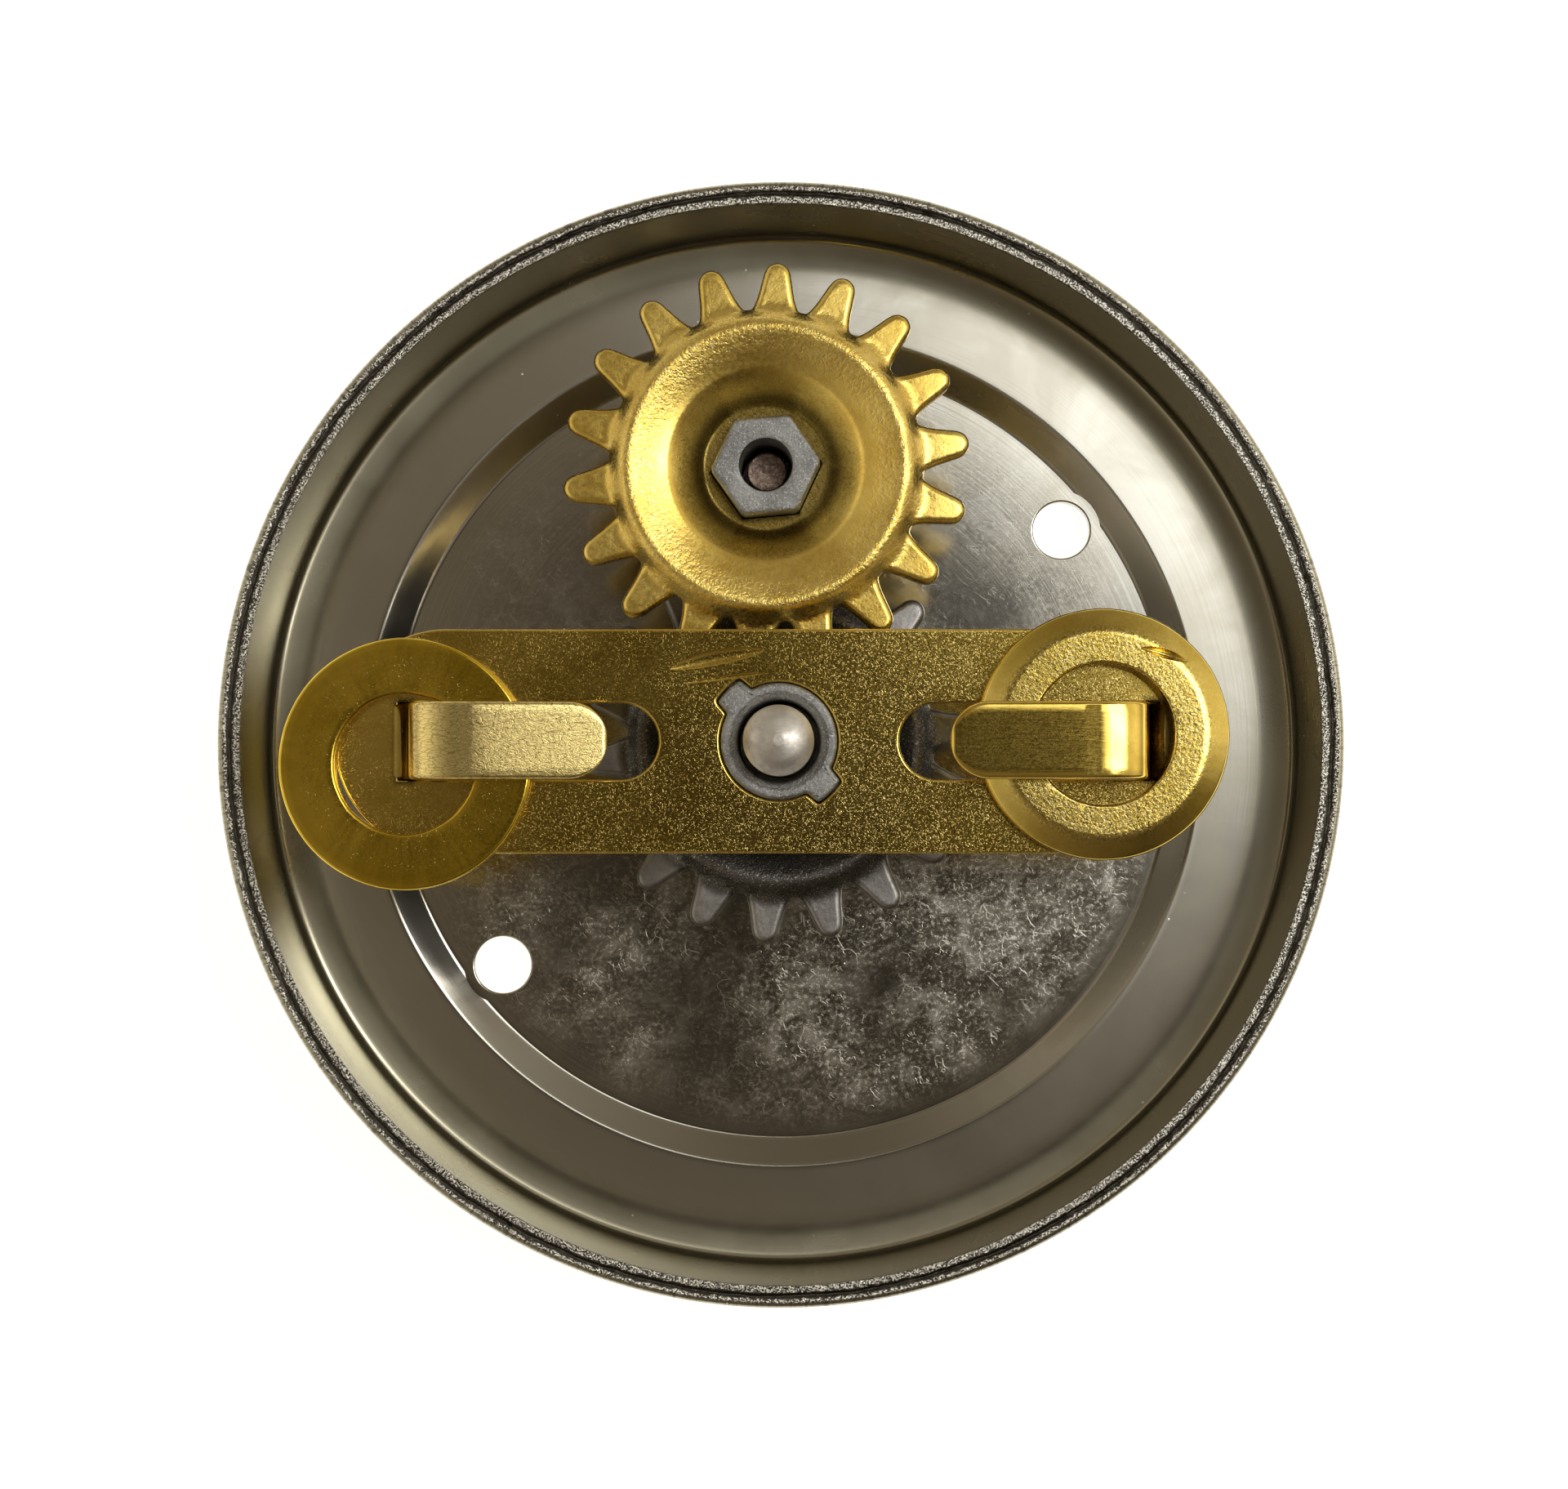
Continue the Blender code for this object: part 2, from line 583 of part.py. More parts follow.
def main():
    """Build the whole unit."""
    clear_scene()
    parts = make_collection(OBJECT_NAME)
    cutters = make_collection("cutters")

    nickel = make_material("nickel_plated_steel", (0.60, 0.57, 0.50), 0.28)
    steel = make_material("polished_steel", (0.58, 0.56, 0.53), 0.22)
    zinc = make_material("cast_zinc", (0.40, 0.41, 0.42), 0.55)
    grey_plate = make_material("grey_plated_steel", (0.50, 0.47, 0.44), 0.35)
    brass = make_material("brass_plated_steel", (0.72, 0.55, 0.18), 0.30)
    bronze = make_material("sintered_bronze", (0.45, 0.30, 0.16), 0.50)

    base_axis = add_axis("base_axis", (0.0, 0.0, 0.0), parts)
    input_axis = add_axis("input_axis", (0.0, 0.0, 0.0), parts, base_axis)
    layshaft_axis = add_axis("layshaft_axis", LAYSHAFT_AXIS, parts, base_axis)
    rotor_axis = add_axis("rotor_axis", (0.0, 0.0, 0.0), parts, base_axis)

    finish_surface(build_dish(parts, cutters, base_axis), nickel)
    finish_surface(build_bush(parts, base_axis), bronze)
    finish_surface(build_layshaft_pin(parts, base_axis), steel)
    finish_surface(build_spindle(parts, cutters, input_axis), steel)
    input_wheel = build_wheel(
        "input_gear", INPUT_WHEEL_PHASE, INPUT_WHEEL_PHASE, INPUT_WHEEL_TOP, parts, cutters, input_axis
    )
    finish_surface(input_wheel, grey_plate)
    finish_surface(build_layshaft_hub(parts, cutters, layshaft_axis), zinc)
    layshaft_wheel = build_wheel(
        "layshaft_gear", LAYSHAFT_WHEEL_PHASE, HEX_PHASE, LAYSHAFT_WHEEL_TOP, parts, cutters,
        layshaft_axis,
    )
    finish_surface(layshaft_wheel, brass)
    finish_surface(build_rotor_hub(parts, cutters, rotor_axis), zinc)
    finish_surface(build_arm(parts, cutters, rotor_axis), brass)
    for name, centre in WASHER_CENTRES.items():
        finish_surface(build_washer(name, centre, parts, rotor_axis), brass)


main()
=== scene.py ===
"""Looks of the geared striker unit of a mechanical twist bell.

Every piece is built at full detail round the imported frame, in millimetres,
and scaled to metres when its mesh is made. Each one replaces its CAD node.
"""
import math

import bmesh
import bpy
import numpy as np
from mathutils import Matrix, Vector, noise


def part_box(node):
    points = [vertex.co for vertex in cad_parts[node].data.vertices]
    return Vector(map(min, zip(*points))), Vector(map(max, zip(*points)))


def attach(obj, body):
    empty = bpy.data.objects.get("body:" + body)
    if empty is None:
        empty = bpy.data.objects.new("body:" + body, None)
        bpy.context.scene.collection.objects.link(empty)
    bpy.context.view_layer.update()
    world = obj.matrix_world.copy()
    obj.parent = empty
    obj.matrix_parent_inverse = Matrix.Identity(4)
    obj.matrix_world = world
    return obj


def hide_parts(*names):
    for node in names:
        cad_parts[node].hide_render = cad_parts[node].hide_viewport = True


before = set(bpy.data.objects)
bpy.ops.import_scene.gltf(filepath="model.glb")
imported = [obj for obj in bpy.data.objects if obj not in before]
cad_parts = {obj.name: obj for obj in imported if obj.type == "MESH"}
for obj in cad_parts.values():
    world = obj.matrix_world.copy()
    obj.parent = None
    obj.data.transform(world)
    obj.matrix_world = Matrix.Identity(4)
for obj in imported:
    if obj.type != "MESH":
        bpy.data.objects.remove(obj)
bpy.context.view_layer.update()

MM = 0.001
TAU = math.tau


def node_box(name):
    """Lowest and highest corner of a CAD node, in millimetres."""
    low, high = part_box(name)
    return np.array(low) / MM, np.array(high) / MM


# --- sizes, millimetres

# Places that come from the frame
DISH_HIGH = node_box("base_dish")[1]
PIN_LOW, PIN_HIGH = node_box("layshaft_pin")
BUSH_HIGH = node_box("spindle_bush")[1]
SPINDLE_LOW, SPINDLE_HIGH = node_box("drive_spindle")
INPUT_LOW, INPUT_HIGH = node_box("input_gear")
UPPER_LOW, UPPER_HIGH = node_box("layshaft_gear")
HUB_LOW, HUB_HIGH = node_box("rotor_hub")
CAST_LOW, CAST_HIGH = node_box("layshaft_hub")
ARM_LOW, ARM_HIGH = node_box("rotor_arm")
LAYSHAFT = (PIN_LOW + PIN_HIGH)[:2] / 2

# Dish
SHEET = 1.45
STEP_RISE = 0.85
STEP_TOP = 28.1
STEP_FOOT = 26.3
SCREW_HOLE = 1.9
SCREW_CIRCLE = 23.9
SCREW_ANGLES = (37.9, 217.9)

# Gears
MODULE = 1.304
WHEEL_TEETH = 18
PINION_TEETH = 9
LAYSHAFT_ANGLE = 92.8
INPUT_PHASE = 5.2
UPPER_PHASE = 6.6
HEX_PHASE = 5.0
HEX_FLATS = 6.15
CREST = 1.1
WHEEL_FLANK = ((7.77, 1.11), (8.28, 0.905), (8.98, 0.75), (9.53, 0.62), (9.84, 0.40))
PINION_FLANK = ((3.32, 0.625), (3.98, 0.625), (4.53, 0.562), (5.08, 0.39), (5.35, 0.22))
INPUT_TOP = INPUT_HIGH[2] - CREST
UPPER_TOP = UPPER_HIGH[2] - CREST

# Spindle and layshaft
POST = 2.21
PIN = 1.27
BORE = 1.67

# Rotor
ARM_SHEET = 1.0
ARM_TOP = ARM_LOW[2] + ARM_SHEET
ARM_HALF_LENGTH = 27.98
ARM_HALF_WIDTH = 7.05
SLOT_WIDTH = 4.8
SLOT_INNER = 7.55
SLOT_OUTER = 23.9
TONGUE_WIDTH = 4.84
TONGUE_END = 10.66
TONGUE_FACE = 23.1
TONGUE_ROOT = 1.3
TONGUE_BEND = (3.2, 1.9)
TONGUE_DROOP_START = 19.2
HUB = 3.66
HUB_BORE = 2.59
LUG_ANGLE = 135.0
LUG_REACH = 4.58
LUG_WIDTH = 2.06

# Washers
WASHER = 7.88
WASHER_HOLE = 4.40
WASHER_SHEET = 1.6
WASHER_SINK = 0.28

# Camera
LENS = 79.7
CAMERA = (2.90, -5.39, 235.92)
AIM = (0.275, -0.121, DISH_HIGH[2])


# --- mesh building

def turns(count):
    """Angles of equal steps round a full turn."""
    return np.arange(count) * TAU / count


def spokes(angle, radius=1.0):
    """Points at angles and radii round the origin."""
    return np.stack([radius * np.cos(angle), radius * np.sin(angle)], -1)


def compass(count):
    """Unit vectors of equal steps round a full turn."""
    return [Vector((math.cos(a), math.sin(a), 0.0)) for a in turns(count)]


def rounded(corners, steps=5, closed=False):
    """Polyline through (x, y, fillet) corners, each fillet an arc."""
    points = []
    count = len(corners)
    for i, (x, y, fillet) in enumerate(corners):
        here = np.array((x, y), float)
        if fillet <= 0 or (not closed and i in (0, count - 1)):
            points.append(here)
            continue
        before = np.array(corners[i - 1][:2], float) - here
        after = np.array(corners[(i + 1) % count][:2], float) - here
        before /= np.linalg.norm(before)
        after /= np.linalg.norm(after)
        half = math.acos(max(-1.0, min(1.0, float(before @ after)))) / 2
        reach = fillet / math.tan(half)
        middle = (before + after) / np.linalg.norm(before + after)
        centre = here + middle * fillet / math.sin(half)
        start = here + before * reach - centre
        end = here + after * reach - centre
        turn = math.atan2(start[0] * end[1] - start[1] * end[0], float(start @ end))
        for k in range(steps + 1):
            a = turn * k / steps
            points.append(centre + np.array((
                start[0] * math.cos(a) - start[1] * math.sin(a),
                start[0] * math.sin(a) + start[1] * math.cos(a),
            )))
    return np.array(points)


def spread(points, longest, closed=False):
    """The same polyline with its long stretches divided."""
    out = []
    count = len(points)
    last = count if closed else count - 1
    for i in range(last):
        start = points[i]
        end = points[(i + 1) % count]
        pieces = max(1, int(math.ceil(np.linalg.norm(end - start) / longest)))
        out += [start + (end - start) * k / pieces for k in range(pieces)]
    if not closed:
        out.append(points[-1])
    return np.array(out)


def skin_mesh(name, rings, ends="loop", sharp=40.0):
    """Closed mesh from rings of equal length: ends is loop, points or caps."""
    rings = [np.asarray(ring, float) for ring in rings]
    count = len(rings[0])
    verts = np.concatenate(rings) * MM
    faces = []
    spans = len(rings) if ends == "loop" else len(rings) - 1
    for j in range(spans):
        a = j * count
        b = ((j + 1) % len(rings)) * count
        faces += [(a + i, a + (i + 1) % count, b + (i + 1) % count, b + i) for i in range(count)]
    verts = [tuple(v) for v in verts]
    if ends == "caps":
        faces.append(tuple(range(count)))
        faces.append(tuple((len(rings) - 1) * count + i for i in range(count)))
    if ends == "points":
        for ring_start, centre in ((0, rings[0].mean(0)), ((len(rings) - 1) * count, rings[-1].mean(0))):
            apex = len(verts)
            verts.append(tuple(centre * MM))
            faces += [(ring_start + i, ring_start + (i + 1) % count, apex) for i in range(count)]
    mesh = bpy.data.meshes.new(name)
    mesh.from_pydata(verts, [], faces)
    tidy_mesh(mesh, sharp)
    return mesh


def tidy_mesh(mesh, sharp):
    """Normals out, smooth, with sharp edges above an angle."""
    work = bmesh.new()
    work.from_mesh(mesh)
    bmesh.ops.remove_doubles(work, verts=work.verts, dist=1e-7)
    bmesh.ops.recalc_face_normals(work, faces=work.faces)
    work.to_mesh(mesh)
    work.free()
    mesh.shade_smooth()
    mesh.set_sharp_from_angle(angle=math.radians(sharp))


def ring_at(count, radius, height, centre=(0.0, 0.0)):
    """A circle of points; radius and height may be arrays."""
    angle = turns(count)
    radius = np.broadcast_to(radius, count)
    return np.stack([
        centre[0] + radius * np.cos(angle),
        centre[1] + radius * np.sin(angle),
        np.broadcast_to(height, count),
    ], -1)


def revolve_mesh(name, profile, steps, centre=(0.0, 0.0), closed=True):
    """Turned piece from a profile of (radius, height) points."""
    inner = profile if closed else profile[1:-1]
    rings = [ring_at(steps, r, z, centre) for r, z in inner]
    return skin_mesh(name, rings, "loop" if closed else "points")


def closed_spline(points, per_span):
    """Smooth closed curve through points (Catmull-Rom)."""
    points = np.asarray(points, float)
    before = np.roll(points, 1, 0)
    after = np.roll(points, -1, 0)
    far = np.roll(points, -2, 0)
    out = []
    for k in range(per_span):
        t = k / per_span
        out.append(0.5 * (
            2 * points + (after - before) * t
            + (2 * before - 5 * points + 4 * after - far) * t * t
            + (3 * points - before - 3 * after + far) * t ** 3
        ))
    return np.stack(out, 1).reshape(-1, 2)


def outward(points):
    """Outward normals of a closed anticlockwise outline."""
    along = np.roll(points, -1, 0) - np.roll(points, 1, 0)
    normal = np.stack([along[:, 1], -along[:, 0]], -1)
    return normal / np.linalg.norm(normal, axis=1, keepdims=True)


def lifted(points, height, centre=(0.0, 0.0)):
    """Outline at a height, which may be an array."""
    return np.stack([
        points[:, 0] + centre[0],
        points[:, 1] + centre[1],
        np.broadcast_to(height, len(points)),
    ], -1)


def gear_outline(teeth, flank, root, tip, phase, per_span=4):
    """Toothed outline with rounded tips and roots, anticlockwise from mid-gap."""
    pitch = TAU / teeth
    points = []
    for tooth in range(teeth):
        middle = math.radians(phase) + tooth * pitch
        polar = [(root, middle - pitch / 2)]
        polar += [(MODULE * r, middle - math.asin(w / r)) for r, w in flank]
        polar.append((tip, middle))
        polar += [(MODULE * r, middle + math.asin(w / r)) for r, w in reversed(flank)]
        points += [(r * math.cos(a), r * math.sin(a)) for r, a in polar]
    return closed_spline(points, per_span)


def meshing_phase(wheel_phase, direction):
    """Phase of a pinion in mesh with a wheel; direction runs from wheel to pinion."""
    pitch = 360.0 / WHEEL_TEETH
    offset = (wheel_phase - direction + pitch / 2) % pitch - pitch / 2
    return direction + 180.0 - offset * WHEEL_TEETH / PINION_TEETH + 180.0 / PINION_TEETH


def polygon_radius(angle, flats, phase, corner):
    """Radius of a hexagon with slightly rounded corners, at an angle in radians."""
    sector = (angle - math.radians(phase) - math.pi / 6) % (math.pi / 3)
    flat = flats / 2 / np.cos(np.minimum(sector, math.pi / 3 - sector))
    return np.minimum(flat, flats / math.sqrt(3.0) - corner)


def from_mesh(name, mesh):
    """Object of a mesh, linked to the scene."""
    item = bpy.data.objects.new(name, mesh)
    bpy.context.scene.collection.objects.link(item)
    return item


def evaluated_mesh(item):
    """New mesh of an object with its modifiers or curve settings applied."""
    bpy.context.view_layer.update()
    return bpy.data.meshes.new_from_object(item.evaluated_get(bpy.context.evaluated_depsgraph_get()))


def boolean(item, mesh, operation):
    """Join or cut an object with a mesh, with the result applied."""
    other = from_mesh("other", mesh)
    modifier = item.modifiers.new("boolean", "BOOLEAN")
    modifier.operation = operation
    modifier.solver = "MANIFOLD"
    modifier.object = other
    result = evaluated_mesh(item)
    item.modifiers.clear()
    item.data = result
    bpy.data.objects.remove(other, do_unlink=True)


def smooth_cut(item, sharp):
    """Smooth a cut piece, with exact normals on its level faces so that they look flat."""
    mesh = item.data
    tidy_mesh(mesh, sharp)
    level = {}
    for face in mesh.polygons:
        if abs(face.normal.z) > 0.99999:
            for corner in face.vertices:
                level[corner] = Vector((0.0, 0.0, math.copysign(1.0, face.normal.z)))
    normals = [Vector(corner.vector) for corner in mesh.corner_normals]
    limit = math.cos(math.radians(sharp))
    for face in mesh.polygons:
        for loop in face.loop_indices:
            flat = level.get(mesh.loops[loop].vertex_index)
            if flat is not None and face.normal.dot(flat) > limit:
                normals[loop] = flat
    mesh.normals_split_custom_set(normals)


def dress(item, body, nodes, material):
    """Ride, stand for the CAD nodes, and take the material."""
    item.data.materials.clear()
    item.data.materials.append(material)
    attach(item, body)
    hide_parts(*nodes)


# --- shapes

def rim_face(profile, top, outer):
    """Profile with its top edge divided finely inside a radius."""
    fine = []
    for start, end in zip(profile, np.roll(profile, -1, 0)):
        fine.append(start)
        on_top = start[1] > top - 0.5 and end[1] > top - 0.5
        length = np.linalg.norm(end - start)
        if on_top and outer >= max(start[0], end[0]) - 0.01 and length > 0.08:
            pieces = int(length / 0.055)
            fine += [start + (end - start) * k / pieces for k in range(1, pieces)]
    return fine


def dish_mesh():
    """Pressed dish; its sheared rim has a torn groove between two ragged bands."""
    steps = 1080
    radius = DISH_HIGH[0]
    top = DISH_HIGH[2]
    inside = radius - SHEET
    ring = SHEET + STEP_RISE
    corners = [
        (radius, top, 0.42),
        (radius, STEP_RISE, 0.7 + SHEET),
        (STEP_TOP + 0.6, STEP_RISE, 1.2),
        (STEP_FOOT + 0.6, 0.0, 1.2),
        (4.9, 0.0, 0.1),
        (4.9, SHEET, 0.15),
        (STEP_FOOT, SHEET, 0.7),
        (STEP_TOP, ring, 0.7),
        (32.9, ring, 14.0),
        (inside, ring + 0.22, 0.65),
        (inside, top, 0.06),
    ]
    profile = spread(rounded(corners, 8, closed=True), 1.2, closed=True)
    around = compass(steps)
    wander = np.array([noise.noise(v * 11.0) + 0.5 * noise.noise(v * 37.0) for v in around])
    rings = []
    for r, z in rim_face(profile, top, radius - 0.40):
        height = np.full(steps, z)
        if z > top - 0.08 and r < radius - 0.30:
            tear = np.array([noise.noise(v * 150.0 + Vector((0.0, 0.0, 4.0 * r))) for v in around])
            groove = np.exp(-(((r - radius + 0.78) - 0.10 * wander) / 0.12) ** 2)
            worn = min(1.0, (radius - 0.30 - r) / 0.3)
            height = height - worn * (0.03 + 0.035 * tear + 0.13 * groove * (1.0 + 0.5 * tear))
        rings.append(ring_at(steps, r, height))
    return skin_mesh("dish_shell", rings, "loop", 50.0)


def punch_mesh(x, y, radius, roll):
    """Cutter for a punched hole whose top edge rolls over."""
    profile = rounded([
        (0.0, SHEET + 1.0, 0),
        (radius + roll + 0.6, SHEET + 1.0, 0),
        (radius + roll + 0.6, SHEET + 0.0005, 0),
        (radius, SHEET + 0.0005, roll),
        (radius, -1.0, 0),
        (0.0, -1.0, 0),
    ], 6)
    return revolve_mesh("punch", profile, 96, (x, y), closed=False)


def build_dish(material):
    """Dish with its screw holes and the layshaft pin's hole."""
    dish = from_mesh("dish_shell", dish_mesh())
    for angle in SCREW_ANGLES:
        x, y = spokes(math.radians(angle), SCREW_CIRCLE)
        boolean(dish, punch_mesh(x, y, SCREW_HOLE, 0.14), "DIFFERENCE")
    boolean(dish, punch_mesh(*LAYSHAFT, PIN + 0.34, 0.05), "DIFFERENCE")
    smooth_cut(dish, 50.0)
    dress(dish, "base", ["base_dish"], material)


def build_bush(material):
    """Flanged bush staked in the dish's centre hole."""
    top = BUSH_HIGH[2]
    corners = [
        (7.5, top, 0.25), (7.5, SHEET + 0.02, 0.1), (4.86, SHEET + 0.02, 0.05), (4.86, 0.3, 0.2),
        (3.35, 0.3, 0.15), (3.35, top, 0.2),
    ]
    mesh = revolve_mesh("bush_flanged", rounded(corners, 5, closed=True), 128)
    dress(from_mesh("bush_flanged", mesh), "base", ["spindle_bush"], material)


def build_pin(material):
    """Shouldered pin with a roughly cut end."""
    top = PIN_HIGH[2]
    collar = CAST_LOW[2] - 0.25
    corners = [
        (0.0, top, 0), (PIN, top, 0.12), (PIN, collar, 0.05), (2.8, collar, 0.2),
        (2.8, SHEET + 0.02, 0.1), (PIN + 0.33, SHEET + 0.02, 0.02), (PIN + 0.33, 0.3, 0.1), (0.0, 0.3, 0),
    ]
    profile = spread(rounded(corners, 4), 0.25)
    mesh = revolve_mesh("layshaft_pin_turned", profile, 72, LAYSHAFT, closed=False)
    for vertex in mesh.vertices:
        place = vertex.co / MM
        if place.z > top - 0.2:
            vertex.co.z += 0.05 * MM * (noise.noise(place * 3.1) + 0.5 * noise.noise(place * 7.3) - 0.6)
    dress(from_mesh("layshaft_pin_turned", mesh), "base", ["layshaft_pin"], material)


def build_spindle(material):
    """Drive spindle with its collar, hexagon, domed post and key slot."""
    top = SPINDLE_HIGH[2]
    bottom = SPINDLE_LOW[2]
    collar = INPUT_LOW[2] - 0.05
    hex_top = HUB_LOW[2] - 0.3
    flange = BUSH_HIGH[2] + 0.05
    dome = rounded([(0.0, top, 0), (0.35, top, 0.6), (1.55, top - 0.30, 1.6), (POST, top - 0.95, 0.25)], 6)
    lower = rounded([
        (POST, top - 1.1, 0), (POST, hex_top, 0.1), (3.0, hex_top, 0.1), (3.0, collar, 0.05),
        (4.6, collar, 0.25), (4.6, flange, 0.15), (3.2, flange, 0.1), (3.2, bottom, 0.25), (0.0, bottom, 0),
    ], 4)
    profile = np.concatenate([dome[:-1], lower])
    spindle = from_mesh("spindle_turned", revolve_mesh("spindle_turned", profile, 128, closed=False))
    steps = 120
    angle = turns(steps)
    rings = []
    for inset, z in ((0.25, collar + 0.02), (0.0, collar + 0.12), (0.0, hex_top - 0.15), (0.2, hex_top)):
        rings.append(ring_at(steps, polygon_radius(angle, HEX_FLATS, INPUT_PHASE, 0.12) - inset, z))
    boolean(spindle, skin_mesh("hexagon", rings, "caps"), "UNION")
    slot = bpy.data.meshes.new("slot")
    work = bmesh.new()
    bmesh.ops.create_cube(work, size=1.0)
    work.transform(Matrix.Translation((0, 0, bottom * MM)) @ Matrix.Diagonal((4.8 * MM, 1.5 * MM, 6 * MM, 1)))
    bmesh.ops.bevel(work, geom=work.edges[:], offset=0.3 * MM, segments=3, affect="EDGES")
    work.to_mesh(slot)
    work.free()
    boolean(spindle, slot, "DIFFERENCE")
    smooth_cut(spindle, 35.0)
    dress(spindle, "input", ["drive_spindle"], material)


def wheel_mesh(name, phase, hex_phase, top, centre):
    """Pressed wheel: rolled teeth, round crest, funnel, floor and hexagon hole."""
    outline = gear_outline(WHEEL_TEETH, WHEEL_FLANK, 7.70 * MODULE, 9.98 * MODULE, phase)
    normal = outward(outline)
    angle = np.arctan2(outline[:, 1], outline[:, 0])
    crest = rounded([
        (0.0, -1.45, 0), (4.05, -1.45, 0.35), (6.20, 0.30, 0.4), (8.30, 1.00, 2.5), (9.12, 1.20, 0.85),
        (9.98, 0.0, 0.5), (11.0, 0.0, 0), (14.0, -0.15, 0),
    ], 8)
    below = rounded([
        (0.0, -2.8, 0), (4.6, -2.8, 0.6), (7.1, -1.45, 0.5), (8.5, -0.35, 0.6), (9.0, -0.35, 0.4),
        (9.6, -1.2, 0.3), (14.0, -1.2, 0),
    ], 8)

    def top_height(points):
        return np.interp(np.linalg.norm(points, axis=1), crest[:, 0], crest[:, 1])

    def low_height(points):
        return np.interp(np.linalg.norm(points, axis=1), below[:, 0], below[:, 1])

    hex_points = spokes(angle, polygon_radius(angle, HEX_FLATS + 0.06, hex_phase, 0.05))
    circle = spokes(angle)
    roll = 0.40
    rings = [
        (hex_points, top_height(hex_points) - 0.12),
        (hex_points * 1.02, top_height(hex_points) - 0.02),
    ]
    radii = np.concatenate([
        np.linspace(3.75, 4.6, 8), np.linspace(4.8, 6.2, 7), np.linspace(6.3, 7.0, 6),
        np.linspace(7.15, 9.1, 16),
    ])
    for radius in radii:
        points = circle * radius
        rings.append((points, top_height(points)))
    last = circle * 9.1
    inner = outline - normal * roll
    for share in (0.12, 0.25, 0.38, 0.5, 0.62, 0.75, 0.88):
        points = last + (inner - last) * share
        rings.append((points, top_height(points)))
    for a in np.linspace(0, math.pi / 2, 9):
        points = outline - normal * roll * (1 - math.sin(a))
        rings.append((points, top_height(points) - roll * (1 - math.cos(a))))
    for drop in (0.25, 0.7):
        height = top_height(outline) - roll
        rings.append((outline, height + (low_height(outline) + 0.08 - height) * drop))
    rings.append((outline, low_height(outline) + 0.08))
    rings.append((outline - normal * 0.08, low_height(outline)))
    start = outline - normal * 0.3
    for share in (0.0, 0.3, 0.6, 1.0):
        points = start + (circle * 8.8 - start) * share
        rings.append((points, low_height(points)))
    for radius in (8.5, 8.1, 7.6, 7.2, 6.8, 6.2, 5.5, 4.9, 4.5, 4.0):
        rings.append((circle * radius, low_height(circle * radius)))
    rings.append((hex_points, low_height(hex_points)))
    shaped = [lifted(points, height + top, centre) for points, height in rings]
    return skin_mesh(name, shaped, "loop", 50.0)


def build_wheels(grey, brass):
    """The two equal pressed wheels."""
    lower = from_mesh("input_wheel", wheel_mesh("input_wheel", INPUT_PHASE, INPUT_PHASE, INPUT_TOP, (0, 0)))
    dress(lower, "input", ["input_gear"], grey)
    upper = from_mesh(
        "layshaft_wheel", wheel_mesh("layshaft_wheel", UPPER_PHASE, HEX_PHASE, UPPER_TOP, LAYSHAFT)
    )
    dress(upper, "layshaft", ["layshaft_gear"], brass)


def pinion_mesh(name, phase, bottom, top, centre, hole):
    """Cast pinion with softened tooth ends."""
    outline = gear_outline(PINION_TEETH, PINION_FLANK, 3.28 * MODULE, 5.40 * MODULE, phase, 5)
    normal = outward(outline)
    angle = np.arctan2(outline[:, 1], outline[:, 0])
    circle = spokes(angle)
    half = [
        (circle * hole, 0.0), (circle * 3.7, 0.0), (outline - normal * 0.15, 0.0),
        (outline - normal * 0.05, 0.05), (outline, 0.16),
    ]
    rings = [lifted(points, top - inset, centre) for points, inset in half]
    rings += [lifted(points, bottom + inset, centre) for points, inset in reversed(half)]
    return skin_mesh(name, rings, "loop", 40.0)


def build_layshaft_hub(material):
    """Cast hub: pinion with a hexagon boss and a bore."""
    bottom = CAST_LOW[2]
    top = CAST_HIGH[2]
    shoulder = UPPER_LOW[2] - 0.05
    phase = meshing_phase(INPUT_PHASE, LAYSHAFT_ANGLE)
    hub = from_mesh("layshaft_hub_cast", pinion_mesh("hub", phase, bottom, shoulder, LAYSHAFT, BORE))
    steps = 240
    angle = turns(steps)
    shape = polygon_radius(angle, HEX_FLATS - 0.02, HEX_PHASE, 0.09)
    rings = [ring_at(steps, radius, shoulder - 0.6, LAYSHAFT) for radius in (BORE, shape)]
    for inset, drop in ((0.0, 0.32), (0.03, 0.16), (0.1, 0.06), (0.22, 0.01), (0.42, 0.0)):
        rings.append(ring_at(steps, shape - inset, top - drop, LAYSHAFT))
    for radius, drop in ((2.1, 0.0), (BORE + 0.14, 0.01), (BORE + 0.05, 0.05), (BORE, 0.15)):
        rings.append(ring_at(steps, radius, top - drop, LAYSHAFT))
    boolean(hub, skin_mesh("boss", rings, "loop"), "UNION")
    smooth_cut(hub, 35.0)
    dress(hub, "layshaft", ["layshaft_hub"], material)


def keyed_outline(radius, reach, width):
    """Circle with two opposite lugs, its corners softened."""
    angle = turns(360)
    turned = angle - math.radians(LUG_ANGLE)
    across = np.abs(np.sin(turned))
    lug = np.where(across < 1e-6, reach, (width / 2) / np.maximum(across, 1e-6))
    lug = np.minimum(lug, reach)
    lug = np.minimum(lug, reach / np.maximum(np.abs(np.cos(turned)), 1e-6))
    shape = np.maximum(radius, lug)
    for _ in range(3):
        shape = 0.25 * np.roll(shape, 1) + 0.5 * shape + 0.25 * np.roll(shape, -1)
    return spokes(angle, shape)


